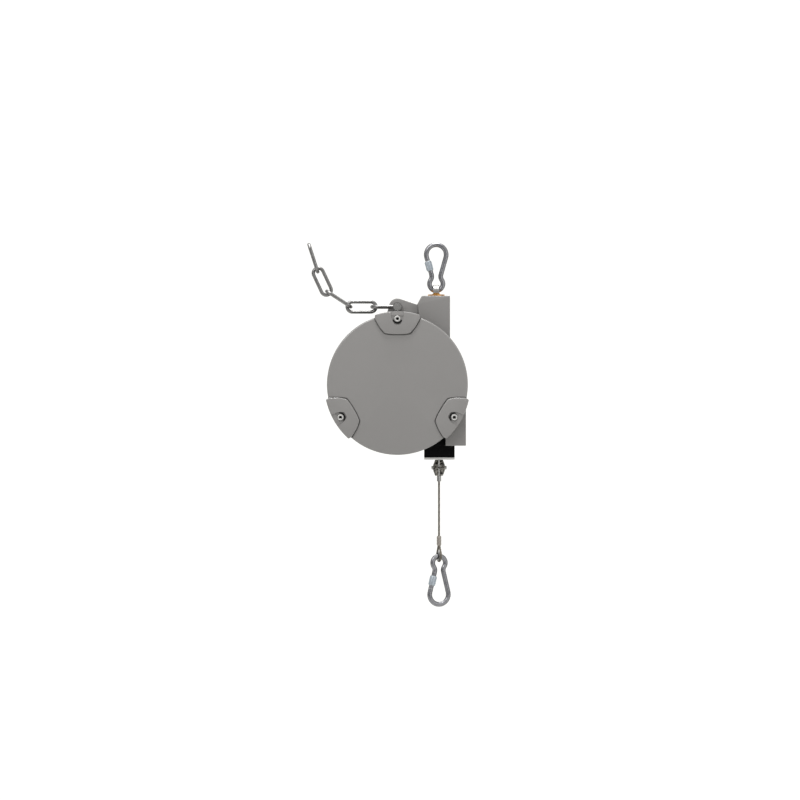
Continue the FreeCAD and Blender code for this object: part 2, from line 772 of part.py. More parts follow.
def make_rear_cover():
    body = on_drum_axis("rear_cover")
    shell = new_sketch(body, "XY_Plane", "rear_shell")
    add_outline(shell, [
        ("0", "rear_bearing_end"),
        ("bearing_outer_radius", "rear_bearing_end"),
        ("bearing_outer_radius", "barrel_back"),
        ("rear_flange_radius", "barrel_back"),
        ("rear_flange_radius", "rear_face - 1"),
        ("rear_flange_radius - 1", "rear_face"),
        ("bearing_boss_radius + 3", "rear_face"),
        ("bearing_boss_radius", "rear_face + 4"),
        ("bearing_boss_radius", "rear_bearing_end + 2"),
        ("bearing_boss_radius - 1.5", "rear_bearing_end + 3.5"),
        ("0", "rear_bearing_end + 3.5"),
    ])
    new_turned(body, shell)
    lock = new_sketch(body, "XZ_Plane", "lock_boss", "-rear_face + 1")
    add_circle(lock, "drum_hole_circle", "0", "lock_boss_radius")
    new_pad(body, lock, "lock_boss_height + 1")
    bore = new_sketch(body, "XZ_Plane", "lock_bore", "1 - barrel_back")
    add_circle(bore, "drum_hole_circle", "0", "lock_radius + running_gap")
    new_pocket(body, bore, "lock_boss_height + rear_cover_thickness + 2")
    rib = new_sketch(body, "XZ_Plane", "rear_rib", "-rear_face + 1")
    add_box(rib, "-1.5", "bearing_boss_radius - 1", "1.5", "rear_flange_radius - 12")
    rib_pad = new_pad(body, rib, "3.5")
    new_polar(body, [rib_pad], "six_ribs", 6)
    drill = new_sketch(body, "XZ_Plane", "rear_hole", "1 - barrel_back")
    add_circle(drill, "rear_screw_circle * cos(30)", "rear_screw_circle * sin(30)",
               "rear_screw_radius + wire_gap")
    hole = new_pocket(body, drill, "rear_cover_thickness + 2")
    new_polar(body, [hole], "rear_holes", 6)
    return keep(body)


# Drum side: shaft, key, drum, wound rope, arbor and bearings


def make_drum_side():
    shaft = on_drum_axis("drum_shaft")
    profile = new_sketch(shaft, "XY_Plane", "shaft_profile")
    front_end = "1.3 - cover_inner"
    front_step = "bearing_width + 1 - cover_inner"
    bore = "bearing_bore_radius - running_gap"
    add_outline(profile, [
        ("0", front_end),
        (f"{bore} - 0.8", front_end),
        (bore, f"{front_end} + 0.8"),
        (bore, front_step),
        ("shaft_radius", front_step),
        ("shaft_radius", "barrel_back + 1"),
        (bore, "barrel_back + 1"),
        (bore, "rear_bearing_end - 1.1"),
        (f"{bore} - 0.8", "rear_bearing_end - 0.3"),
        ("0", "rear_bearing_end - 0.3"),
    ])
    new_turned(shaft, profile)
    slot = new_sketch(shaft, "XZ_Plane", "key_seat", "key_length / 2 + running_gap")
    add_box(slot, "-key_width / 2 - running_gap", "shaft_radius - key_height / 2",
            "key_width / 2 + running_gap", "shaft_radius + 1")
    new_pocket(shaft, slot, "key_length + 2 * running_gap")
    keep(shaft)

    key = on_drum_axis("shaft_key")
    face = new_sketch(key, "XZ_Plane", "key_face", "key_length / 2")
    add_box(face, "-key_width / 2", "shaft_radius - key_height / 2 + running_gap",
            "key_width / 2", "shaft_radius + key_height / 2")
    new_pad(key, face, "key_length")
    keep(key)

    drum = on_drum_axis("rope_drum")
    rim = new_sketch(drum, "XY_Plane", "drum_profile")
    edge = "drum_half + drum_flange_thickness"
    hub = "shaft_radius + running_gap"
    inner = "drum_rim_radius - drum_rim"
    add_outline(rim, [
        (hub, f"-({edge})"),
        ("drum_hub_radius", f"-({edge})"),
        ("drum_hub_radius", "-drum_web / 2"),
        (inner, "-drum_web / 2"),
        (inner, f"-({edge})"),
        ("drum_flange_radius", f"-({edge})"),
        ("drum_flange_radius", f"-({edge}) + 1"),
        ("drum_rim_radius", "-drum_half"),
        ("drum_rim_radius", "drum_half"),
        ("drum_flange_radius", f"{edge} - 1"),
        ("drum_flange_radius", edge),
        (inner, edge),
        (inner, "drum_web / 2"),
        ("drum_hub_radius", "drum_web / 2"),
        ("drum_hub_radius", edge),
        (hub, edge),
    ])
    new_turned(drum, rim)
    keyway = new_sketch(drum, "XZ_Plane", "drum_keyway", f"{edge} + 1")
    add_box(keyway, "-key_width / 2 - running_gap", "0",
            "key_width / 2 + running_gap", "shaft_radius + key_height / 2 + running_gap")
    new_pocket(drum, keyway, f"2 * ({edge}) + 2")
    hole = new_sketch(drum, "XZ_Plane", "web_hole", "drum_web")
    add_circle(hole, "drum_hole_circle", "0", "drum_hole_radius")
    hole_cut = new_pocket(drum, hole, "2 * drum_web")
    new_polar(drum, [hole_cut], "eight_web_holes", 8)
    keep(drum)

    wound = "drum_half - rope_radius / 5"
    winding = turned_body("winding", [
        ("drum_rim_radius + running_gap", f"-({wound})"),
        ("rope_pitch_radius + rope_radius * 0.9", f"-({wound})"),
        ("rope_pitch_radius + rope_radius", f"0.6 - ({wound})"),
        ("rope_pitch_radius + rope_radius", f"{wound} - 0.6"),
        ("rope_pitch_radius + rope_radius * 0.9", wound),
        ("drum_rim_radius + running_gap", wound),
    ], ("-drum_axis_side", "0", "-drum_axis_drop"))
    way = drawn_rope(size("rope_radius + wire_gap"))
    whole = winding.Shape
    doc.removeObject(winding.Name)
    keep_shape("wound_rope", whole.cut(way))

    keep(turned_body("spring_arbor", ring_profile(
        "shaft_radius + running_gap", "arbor_radius",
        "bearing_width + 1.6 - cover_inner", "-case_back - case_wall - 0.5"), DRUM_AXIS))


def make_bearing(name, front):
    """A deep groove ball bearing: outer ring, inner ring and a ring of balls."""
    back = f"{front} + bearing_width"
    outer = turned_body(name + "_outer_ring", ring_profile(
        "bearing_outer_radius - bearing_ring", "bearing_outer_radius - running_gap",
        front, back), DRUM_AXIS)
    inner = turned_body(name + "_inner_ring", ring_profile(
        "bearing_bore_radius", "bearing_bore_radius + bearing_ring", front, back), DRUM_AXIS)
    middle = (size("bearing_outer_radius") + size("bearing_bore_radius")) / 2
    for ring in (outer, inner):
        track = new_sketch(ring, "XY_Plane", ring.Label + "_track")
        centre = "(bearing_outer_radius + bearing_bore_radius) / 2"
        add_circle(track, centre, f"{front} + bearing_width / 2", "ball_radius + 0.15")
        new_turned(ring, track, "Groove")
        keep(ring)
    place_y = size(f"{front} + bearing_width / 2")
    balls = [Part.makeSphere(size("ball_radius"), spot)
             for spot in around_drum(7, 0, middle, place_y)]
    keep_shape(name + "_balls", Part.Compound(balls))


# Spring side: case, lid, worm wheel and mainspring, turned together by the worm


def make_spring_side():
    hub = "shaft_radius + running_gap"
    keep(turned_body("spring_case", [
        (hub, "-case_back - case_wall"),
        ("case_radius - case_wall", "-case_back - case_wall"),
        ("case_radius - case_wall", "case_wall - case_front"),
        ("case_radius", "case_wall - case_front"),
        ("case_radius", "-case_back"),
        (hub, "-case_back"),
    ], DRUM_AXIS))
    keep(turned_body("spring_case_lid", ring_profile(
        "bearing_boss_radius + running_gap", "case_radius",
        "-case_front", "case_wall - case_front - running_gap"), DRUM_AXIS))
    make_worm_wheel()
    make_mainspring()


def gear_outline(teeth, pitch_radius, module, share, turn, place_y):
    """The closed outline of a spur gear's teeth, turned about the drum axis."""
    tip, root = pitch_radius + module, pitch_radius - 1.2 * module
    pitch_angle = 2 * math.pi / teeth
    spread = math.tan(math.radians(20)) * module / pitch_radius
    half = share * pitch_angle / 2
    corners = []
    for tooth in range(teeth):
        middle = (tooth + 0.5) * pitch_angle
        for angle, radius in ((-half - 1.2 * spread, root), (-half + spread, tip),
                              (half - spread, tip), (half + 1.2 * spread, root)):
            bearing = middle + angle + turn
            corners.append(Vector(radius * math.cos(bearing), place_y,
                                  -radius * math.sin(bearing)))
    corners.append(corners[0])
    return Part.makePolygon(corners)


def make_worm_wheel():
    teeth = round(size("wheel_teeth"))
    pitch_radius, module = size("wheel_radius"), size("gear_module")
    half_width = size("wheel_width") / 2
    middle = -size("wheel_place")
    slope = module / (2 * size("worm_pitch_radius"))
    outlines = []
    for side in (-half_width, half_width):
        turn = slope * side / pitch_radius
        outlines.append(gear_outline(teeth, pitch_radius, module, size("tooth_share"),
                                     turn, middle + side))
    blank = Part.makeLoft(outlines, True, True)
    bore = Part.makeCylinder(size("case_radius + running_gap"), 4 * half_width,
                             Vector(0, middle - 2 * half_width, 0), ALONG_Y)
    keep_shape("worm_wheel", blank.cut(bore), Placement(DRUM_CENTRE, Rotation()))


def make_mainspring():
    """A flat strip wound in half circles, from the arbor out to the case wall."""
    start = size("arbor_radius + spring_end_gap")
    end = size("case_radius - case_wall - spring_end_gap - spring_thickness")
    halves = 2 * round(size("spring_turns"))
    growth = (end - start) / halves
    thickness = size("spring_thickness")
    wires = []
    for offset in (0, thickness):
        edges = []
        radius, centre, sign = start + offset, 0.0, 1
        for _ in range(halves):
            first = Vector(centre + sign * radius, 0, 0)
            middle = Vector(centre, 0, sign * radius)
            last = Vector(centre - sign * radius, 0, 0)
            edges.append(Part.Arc(first, middle, last).toShape())
            centre += sign * growth
            radius += growth
            sign = -sign
        wires.append(edges)
    inner, outer = wires
    ends = [(inner[0].Vertexes, outer[0].Vertexes), (inner[-1].Vertexes, outer[-1].Vertexes)]
    caps = []
    for near, far in ends:
        pairs = [(a.Point, b.Point) for a in near for b in far]
        caps.append(min(pairs, key=lambda pair: abs(pair[0].distanceToPoint(pair[1]) - thickness)
                        + abs(pair[0].z) + abs(pair[1].z)))
    closing = [Part.makeLine(inner[0].Vertexes[0].Point, outer[0].Vertexes[0].Point),
               Part.makeLine(inner[-1].Vertexes[-1].Point, outer[-1].Vertexes[-1].Point)]
    strip = Part.Face(Part.Wire(Part.__sortEdges__(inner + outer + closing)))
    back = -size("case_back + case_wall + spring_side_gap")
    front = size("case_wall - case_front + spring_side_gap")
    strip.translate(Vector(0, front, 0))
    keep_shape("mainspring", strip.extrude(ALONG_Y * (back - front)),
               Placement(DRUM_CENTRE, Rotation()))


def worm_centre():
    return Vector(size("worm_side"), -size("wheel_place"), -size("drum_axis_drop"))


def make_worm():
    """The worm and its shaft: a helical thread of straight-sided section on a core."""
    module, pitch_radius = size("gear_module"), size("worm_pitch_radius")
    lead = math.pi * module
    length = size("worm_length")
    core_radius, tip = pitch_radius - 1.2 * module, pitch_radius + module
    half = size("tooth_share") * lead / 2
    slope = math.tan(math.radians(20)) * module
    run = length - 2 * (half + 1.5 * slope)
    deep = core_radius - 0.4
    root_half = half + slope * (pitch_radius - deep) / module
    helix = Part.makeHelix(lead, run, pitch_radius)
    profile = Part.makePolygon([
        Vector(deep, 0, -root_half),
        Vector(tip, 0, -half + slope),
        Vector(tip, 0, half - slope),
        Vector(deep, 0, root_half),
        Vector(deep, 0, -root_half),
    ])
    thread = Part.Wire(helix.Edges).makePipeShell([profile], True, True)
    thread.translate(Vector(0, 0, -run / 2))
    # the ridge that faces the drum axis lies level with it
    thread.rotate(Vector(0, 0, 0), ALONG_Z, 180 - 360 * (run / 2 / lead))
    core = Part.makeCylinder(core_radius, length, Vector(0, 0, -length / 2))
    bush_length = size("worm_bush_length")
    low = -size("block_bottom_drop") + size("drum_axis_drop") + 1.5
    shaft = Part.makeCylinder(size("worm_shaft_radius"), length / 2 + bush_length - low,
                              Vector(0, 0, low))
    worm = core.fuse([thread, shaft])
    depth = size("worm_hex_depth")
    socket = hexagon(size("worm_hex_radius"), Vector(0, 0, low - 1), ALONG_Z)
    worm = worm.cut(socket.extrude(ALONG_Z * (depth + 1))).removeSplitter()
    keep_shape("worm_shaft", worm, Placement(worm_centre(), Rotation()))


def make_worm_bushes():
    inner = size("worm_shaft_radius + running_gap")
    outer = size("worm_shaft_radius + worm_bush_wall")
    length = size("worm_bush_length") - 0.3
    bushes = []
    for low in (size("worm_length") / 2 + 0.3, -size("worm_length") / 2 - 2.3 - length):
        ring = Part.makeCylinder(outer, length, Vector(0, 0, low))
        bushes.append(ring.cut(Part.makeCylinder(inner, length, Vector(0, 0, low))))
    keep_shape("worm_bushes", Part.Compound(bushes), Placement(worm_centre(), Rotation()))


# Drum lock in the rear cover


def make_lock():
    tip = "drum_web / 2 + lock_tip_gap"
    out = "rear_face + lock_boss_height + lock_travel"
    keep(turned_body("lock_bolt", [
        ("0", tip),
        ("lock_radius - 0.6", tip),
        ("lock_radius", f"{tip} + 0.6"),
        ("lock_radius", f"{out} + 1"),
        ("0", f"{out} + 1"),
    ], ("drum_hole_circle - drum_axis_side", "hang_shift", "-drum_axis_drop")))
    keep(turned_body("lock_knob", [
        ("lock_radius + running_gap", f"{out} + 0.4"),
        ("lock_knob_radius - 1", f"{out} + 0.4"),
        ("lock_knob_radius", f"{out} + 1.4"),
        ("lock_knob_radius", f"{out} + lock_knob_height - 1"),
        ("lock_knob_radius - 1", f"{out} + lock_knob_height"),
        ("0", f"{out} + lock_knob_height"),
        ("0", f"{out} + 1.1"),
        ("lock_radius + running_gap", f"{out} + 1.1"),
    ], ("drum_hole_circle - drum_axis_side", "hang_shift", "-drum_axis_drop")))


# Rope guide, wear plate and their screws


def make_guide():
    place = ("0", "hang_shift", "-block_bottom_drop")
    guide = new_body("rope_guide", *place)
    flange = new_sketch(guide, "XZ_Plane", "guide_flange", "guide_half_depth")
    add_box(flange, "-guide_left", "-guide_flange", "guide_right", "0")
    new_pad(guide, flange, "2 * guide_half_depth")
    neck = new_sketch(guide, "XZ_Plane", "guide_neck", "guide_neck_half_depth")
    add_box(neck, "-guide_left", "-1", "guide_neck_right", "guide_neck_height")
    new_pad(guide, neck, "2 * guide_neck_half_depth")
    bore = new_sketch(guide, "XZ_Plane", "guide_bore")
    # the way for the rope is turned about the rope's own line
    top, low = "guide_neck_height", "-guide_flange"
    add_outline(bore, [
        ("rope_side", f"{low} - 1"),
        ("rope_side + guide_mouth_radius", f"{low} - 1"),
        ("rope_side + guide_bore_radius", f"{low} + 3"),
        ("rope_side + guide_bore_radius", f"{top} - 10"),
        ("rope_side + guide_mouth_radius + 3", f"{top} + 1"),
        ("rope_side", f"{top} + 1"),
    ])
    groove = guide.newObject("PartDesign::Groove", "guide_way")
    groove.Profile = bore
    line = new_sketch(guide, "XZ_Plane", "rope_line")
    first = line.addGeometry(Part.LineSegment(Vector(size("rope_side"), 0, 0),
                                              Vector(size("rope_side"),
                                                     size("guide_neck_height"), 0)))
    hold(line, "DistanceX", -1, 1, first, 1, text="rope_side")
    line.addConstraint(Sketcher.Constraint("DistanceY", -1, 1, first, 1, 0))
    line.addConstraint(Sketcher.Constraint("Vertical", first))
    hold(line, "DistanceY", first, 1, first, 2, text="guide_neck_height")
    before = guide.Shape.Volume
    groove.ReferenceAxis = (line, ["Edge1"])
    groove.Angle = 360
    guide.Tip = groove
    doc.recompute()
    if groove.Shape.Volume > before - 1:
        raise RuntimeError("the rope's way isn't cut")
    cut_guide_holes(guide, "guide_hole", "-guide_flange - 1", "guide_flange + 2",
                    "guide_screw_radius + wire_gap")
    keep(guide)

    plate = new_body("wear_plate", *place)
    face = new_sketch(plate, "XY_Plane", "plate_face", "-guide_flange - wear_plate_thickness")
    add_box(face, "-guide_left", "-guide_half_depth", "guide_right", "guide_half_depth")
    add_circle(face, "rope_side", "0", "guide_mouth_radius")
    for side, depth in guide_screw_spots():
        add_circle(face, side, depth, "guide_screw_radius + wire_gap")
    pad = plate.newObject("PartDesign::Pad", "plate_pad")
    pad.Profile = face
    pad.setExpression("Length", bound("wear_plate_thickness - running_gap"))
    doc.recompute()
    sink = new_sketch(plate, "XY_Plane", "plate_sink", "-guide_flange - wear_plate_thickness")
    for side, depth in guide_screw_spots():
        add_circle(sink, side, depth, "guide_screw_head + wire_gap / 2")
    new_pocket(plate, sink, "wear_plate_thickness * 0.65", True)
    keep(plate)


def guide_screw_spots():
    """The four places of the guide's screws, as expressions of side and depth."""
    return [(f"rope_side {side} guide_screw_side", f"0 {depth} guide_screw_offset")
            for side in "+-" for depth in "+-"]


def cut_guide_holes(body, name, low, depth, radius):
    face = new_sketch(body, "XY_Plane", name, low)
    for side, place in guide_screw_spots():
        add_circle(face, side, place, radius)
    new_pocket(body, face, depth, True)


def make_guide_screws():
    """Countersunk screws from below, whose heads lie flush in the wear plate."""
    low = -size("block_bottom_drop + guide_flange + wear_plate_thickness")
    head, shank = size("guide_screw_head"), size("guide_screw_radius")
    height = size("wear_plate_thickness") * 0.6
    screws = []
    for side, depth in guide_screw_spots():
        spot = Vector(size(side), size(depth), low)
        cone = Part.makeCone(head, shank, height, spot, ALONG_Z)
        body = Part.makeCylinder(shank, size("guide_screw_length"), spot, ALONG_Z)
        socket = hexagon(shank * 0.8, spot - ALONG_Z * 0.1, ALONG_Z)
        screws.append(cone.fuse(body).cut(socket.extrude(ALONG_Z * (height * 0.8))))
    keep_shape("guide_screws", Part.Compound(screws))


# Rope: the drawn-out stretch, rope stop, hanging stretch, ferrule, thimble and loop


def round_wire(points, radii, tube_radius):
    """Sweep a round section along straight runs joined by tangent arcs."""
    edges = []
    start = points[0]
    for before, corner, after, radius in zip(points, points[1:], points[2:], radii):
        into = (before - corner).normalize()
        out = (after - corner).normalize()
        half = into.getAngle(out) / 2
        reach = radius / math.tan(half)
        first, last = corner + into * reach, corner + out * reach
        centre = corner + (into + out).normalize() * (radius / math.sin(half))
        middle = centre + (corner - centre).normalize() * radius
        if start.distanceToPoint(first) > 1e-6:
            edges.append(Part.makeLine(start, first))
        edges.append(Part.Arc(first, middle, last).toShape())
        start = last
    if start.distanceToPoint(points[-1]) > 1e-6:
        edges.append(Part.makeLine(start, points[-1]))
    return sweep(edges, tube_radius)


def sweep(edges, tube_radius):
    path = Part.Wire(edges)
    first = edges[0]
    heading = first.tangentAt(first.FirstParameter)
    section = Part.Wire(Part.makeCircle(tube_radius, first.valueAt(first.FirstParameter), heading))
    return path.makePipeShell([section], True, True)


def stop_top():
    return -size("block_bottom_drop + guide_flange + wear_plate_thickness + stop_gap")


def drawn_rope(radius):
    """The stretch from the drum's side down through the guide to the rope stop."""
    side = size("rope_side")
    tangent = Vector(side + 0.02, -size("drum_half - rope_pitch"), -size("drum_axis_drop"))
    inlet = Vector(side, 0, -size("block_bottom_drop - guide_neck_height") - 4)
    foot = Vector(side, 0, stop_top())
    tangent_end = tangent - ALONG_Z * 2
    bend = 0.45 * 40 / math.tan(math.radians(4))
    route = [tangent_end, inlet, foot]
    return round_wire(route, [bend / 3], radius)


def make_rope():
    rope = size("rope_radius")
    side = size("rope_side")
    keep_shape("drawn_rope", drawn_rope(rope))
    low = -size("ferrule_top_drop")
    sleeve_low = stop_top() - size("stop_height + stop_sleeve_length")
    hanging = Part.makeCylinder(rope, sleeve_low - low, Vector(side, 0, low))
    keep_shape("hanging_rope", hanging)


def make_rope_stop():
    """Two clamp halves that grip the rope, with a barrel shape outside."""
    place = ("rope_side", "0", "0")
    top = "-block_bottom_drop - guide_flange - wear_plate_thickness - stop_gap"
    low = f"{top} - stop_height"
    band = f"{top} - (stop_height - stop_band_height) / 2"
    barrel = turned_body("stop_barrel", [
        ("rope_radius + running_gap", low),
        ("stop_waist_radius", low),
        ("stop_radius", f"{band} - stop_band_height"),
        ("stop_radius", band),
        ("stop_waist_radius", top),
        ("rope_radius + running_gap", top),
    ], place, "Z")
    shape = barrel.Shape
    doc.removeObject(barrel.Name)
    side = size("rope_side")
    middle = stop_top() - size("stop_height") / 2
    reach = 2 * size("stop_radius")
    split = size("stop_split") / 2
    seat = size("stop_boss_reach")
    for row in (-1, 1):
        spot = Vector(side - seat, row * size("stop_screw_side"), middle)
        shape = shape.fuse(Part.makeCylinder(size("stop_boss_radius"), 2 * seat, spot, ALONG_X))
    for row in (-1, 1):
        spot = Vector(side - seat, row * size("stop_screw_side"), middle)
        drill = Part.makeCylinder(size("stop_screw_radius + running_gap"), 2 * seat, spot, ALONG_X)
        shape = shape.cut(drill)
    bore = Part.makeCylinder(size("rope_radius + running_gap"), 2 * reach,
                             Vector(side, 0, middle - reach))
    shape = shape.cut(bore)
    for label, sign in (("rope_stop_left", -1), ("rope_stop_right", 1)):
        start = split if sign > 0 else -split - reach
        block = Part.makeBox(reach, 2 * reach, 2 * reach,
                             Vector(side + start, -reach, middle - reach))
        keep_shape(label, shape.common(block))
    screws = []
    for row in (-1, 1):
        spot = Vector(side + row * (seat + 0.05), row * size("stop_screw_side"), middle)
        screws.append(cap_screw(spot, ALONG_X * row, size("stop_screw_head_radius"),
                                size("stop_screw_head_height"), size("stop_screw_radius"),
                                2 * seat - 1, size("stop_screw_radius") * 0.8, 1.4))
    keep_shape("rope_stop_screws", Part.Compound(screws))
    keep(turned_body("rope_stop_sleeve", ring_profile(
        "rope_radius + running_gap", "stop_sleeve_radius",
        f"{low} - stop_sleeve_length", low), ("rope_side", "hang_shift", "0"), "Z"))


def loop_centre():
    """Where the wire of the lower hook's narrow bow lies in the thimble."""
    return Vector(size("rope_side"), 0, -size("lower_hook_top_drop + hook_wire_radius"))


def make_loop():
    side = size("rope_side")
    top = -size("ferrule_top_drop")
    low = top - size("ferrule_length")
    wide, deep = size("ferrule_half_width"), size("ferrule_half_depth")
    block = Part.makeCylinder(deep, top - low, Vector(0, wide - deep, low))
    block = block.fuse(Part.makeCylinder(deep, top - low, Vector(0, deep - wide, low)))
    block = block.fuse(Part.makeBox(2 * deep, 2 * (wide - deep), top - low,
                                    Vector(-deep, deep - wide, low)))
    block = block.removeSplitter()
    ends = [edge for edge in block.Edges if abs(edge.CenterOfMass.z - top) < 0.01
            or abs(edge.CenterOfMass.z - low) < 0.01]
    block = block.makeFillet(0.7, ends)
    block.translate(Vector(side, 0, 0))
    keep_shape("rope_ferrule", block)

    centre = loop_centre()
    rope = size("rope_radius")
    inner = size("thimble_radius")
    ring = inner + size("thimble_wall") + rope
    centre_z = centre.z - size("hook_wire_radius + thimble_gap") + inner
    eye = Vector(side, 0, centre_z)
    edges = []
    for sign in (1, -1):
        start = Vector(0, rope + 0.05, low - centre_z - rope / 2)
        angle = math.atan2(start.z, start.y) - math.acos(ring / start.Length)
        touch = Vector(0, ring * math.cos(angle), ring * math.sin(angle))
        edges.append([eye + Vector(0, sign * spot.y, spot.z) for spot in (start, touch)])
    bottom = eye - ALONG_Z * ring
    path = [Part.makeLine(*edges[0]), Part.Arc(edges[0][1], bottom, edges[1][1]).toShape(),
            Part.makeLine(edges[1][1], edges[1][0])]
    loop = sweep(path, rope)
    keep_shape("rope_loop", loop)

    thick = size("thimble_wall")
    shell = Part.makeCylinder(inner + thick - 0.1, 2 * rope + 0.6,
                              eye - ALONG_X * (rope + 0.3), ALONG_X)
    hole = Part.makeCylinder(inner, 2 * rope + 2, eye - ALONG_X * (rope + 1), ALONG_X)
    mouth = Part.makeBox(4 * rope, 2 * inner, 2 * inner,
                         eye + Vector(-2 * rope, -inner, inner * 0.55))
    keep_shape("thimble", shell.cut(hole).cut(mouth))


# Snap hooks


def hook_line(bow_distance):
    """Centre line of the wire: tangent circles for the bows and the waist, on the right side."""
    wide, narrow = size("wide_bow_radius"), size("narrow_bow_radius")
    half, rise = size("waist_half_width"), size("waist_rise")
    waist = (half**2 + rise**2 - narrow**2) / (2 * (narrow - half))
    wide_centre = Vector(0, 0, size("hook_wire_radius") - wide)
    narrow_centre = wide_centre - ALONG_Z * bow_distance
    waist_centre = narrow_centre + Vector(half + waist, 0, rise)
    towards = waist_centre - wide_centre
    cross = math.acos((wide + waist) / towards.Length)
    angle = math.atan2(towards.z, towards.x) + cross
    leave = Vector(math.cos(angle), 0, math.sin(angle))
    inward = (narrow_centre - waist_centre).normalize()
    return {
        "wide": wide_centre, "narrow": narrow_centre, "waist": waist_centre,
        "waist_radius": waist, "top_end": wide_centre + leave * wide,
        "waist_top": waist_centre - leave * waist, "waist_low": waist_centre + inward * waist,
    }


def mirrored(point):
    return Vector(-point.x, point.y, point.z)


def make_hook(prefix, bow_distance, place):
    """A bent wire hook, open on the left, with a forked gate, its pin and a locking sleeve."""
    line = hook_line(bow_distance)
    behind = prefix == "lower"
    wire = size("hook_wire_radius")
    wide, narrow = size("wide_bow_radius"), size("narrow_bow_radius")
    pivot = mirrored(line["waist_top"])
    along = (mirrored(line["top_end"]) - pivot).normalize()
    nose = mirrored(line["top_end"]) - along * size("nose_stub")
    waist_middle = line["waist"] - ALONG_X * line["waist_radius"]
    narrow_low = line["narrow"] - ALONG_Z * narrow
    wide_top = line["wide"] + ALONG_Z * wide
    edges = [
        Part.makeLine(nose, mirrored(line["top_end"])),
        Part.Arc(mirrored(line["top_end"]), wide_top, line["top_end"]).toShape(),
        Part.makeLine(line["top_end"], line["waist_top"]),
        Part.Arc(line["waist_top"], waist_middle, line["waist_low"]).toShape(),
        Part.Arc(line["waist_low"], narrow_low, mirrored(line["waist_low"])).toShape(),
        Part.Arc(mirrored(line["waist_low"]), mirrored(waist_middle), pivot).toShape(),
    ]
    hook = sweep(edges, wire)
    across = ALONG_Y.cross(along)
    tongue = size("tongue_thickness") / 2
    lead = wire + 1.0
    stub = Part.makeCylinder(wire, lead, pivot, along)
    eye = Part.makeCylinder(wire, 2 * wire, pivot + along * 1.0 - ALONG_Y * wire, ALONG_Y)
    hook = hook.fuse(stub.common(eye.fuse(Part.makeCylinder(wire, 1.0, pivot, along))))
    pin_spot = pivot + along * 1.0
    reach = 4 * wire
    for sign in (-1, 1):
        depth = tongue if sign > 0 else -tongue - reach
        cheek = Part.makeBox(2 * reach, reach, 2 * reach)
        cheek.translate(Vector(-reach, depth, 0))
        cheek.rotate(Vector(0, 0, 0), ALONG_Y, -math.degrees(math.atan2(along.z, along.x)) + 90)
        cheek.translate(pin_spot - along * (wire + 0.4))
        near = Part.makeCylinder(wire + 1.2, 4 * reach, pin_spot - ALONG_Y * 2 * reach, ALONG_Y)
        hook = hook.cut(cheek.common(near))
    pin_hole = Part.makeCylinder(size("gate_pin_radius + running_gap"), 4 * wire,
                                 pin_spot - ALONG_Y * 2 * wire, ALONG_Y)
    hook = hook.cut(pin_hole).removeSplitter()
    keep_shape(prefix + "_hook", hook, place, behind)

    gate_end = nose - along * size("nose_gap")
    gate_start = pin_spot - along * wire
    gate = Part.makeCylinder(wire, (gate_end - gate_start).Length, gate_start, along)
    round_end = Part.makeCylinder(wire, 2 * wire, pin_spot - ALONG_Y * wire, ALONG_Y)
    front = Part.makeCylinder(wire, (gate_end - pin_spot).Length, pin_spot, along)
    gate = front.fuse(gate.common(round_end))
    slot = tongue + size("fork_gap")
    gap_box = Part.makeBox(2 * reach, 2 * slot, 2 * reach, Vector(-reach, -slot, -reach))
    gap_disc = Part.makeCylinder(wire + 0.5, 2 * slot, pin_spot - ALONG_Y * slot, ALONG_Y)
    gap_box.translate(pin_spot)
    low_side = Part.makeCylinder(3 * wire, reach, pin_spot, -along)
    gate = gate.cut(gap_disc).cut(gap_box.common(low_side))
    gate = gate.cut(pin_hole).removeSplitter()
    keep_shape(prefix + "_gate", gate, place, behind)

    pin = Part.makeCylinder(size("gate_pin_radius"), 2 * wire - 0.6,
                            pin_spot - ALONG_Y * (wire - 0.3), ALONG_Y)
    keep_shape(prefix + "_gate_pin", pin, place, behind)

    sleeve_spot = pin_spot + along * size("sleeve_start")
    length = size("sleeve_length")
    bore = size("sleeve_bore")
    outer = bore + size("sleeve_wall")
    sleeve = Part.makeCylinder(outer, length, sleeve_spot, along)
    sleeve = sleeve.makeChamfer(0.5, [edge for edge in sleeve.Edges if edge.Closed])
    sleeve = sleeve.cut(Part.makeCylinder(bore, length, sleeve_spot, along))
    keep_shape(prefix + "_gate_sleeve", sleeve, place, behind)
    spots = {"pin": pin_spot, "along": along, "across": across}
    for name, spot in spots.items():
        print(prefix, name, place.multVec(spot) if name == "pin" else place.Rotation.multVec(spot))
    print(prefix, "gate from pin to nose", round((gate_end - pin_spot).Length, 2))


def make_hooks():
    make_hook("upper", size("upper_bow_distance"), Placement())
    centre = loop_centre()
    distance = size("lower_bow_distance")
    flip = Rotation(ALONG_X, 180)
    turn = Rotation(ALONG_Z, size("lower_hook_angle")).multiply(flip)
    line = hook_line(distance)
    bottom = line["narrow"] - ALONG_Z * size("narrow_bow_radius")
    place = Placement(centre - turn.multVec(bottom), turn)
    make_hook("lower", distance, place)


# Swivel eye, its bush, nut, washer and cross pin


def eye_centre():
    """Centre of the eye's hole, in which the narrow bow of the upper hook hangs."""
    line = hook_line(size("upper_bow_distance"))
    wire_low = line["narrow"].z - size("narrow_bow_radius")
    return Vector(0, 0, wire_low + size("wire_gap") - size("eye_hole_gap"))


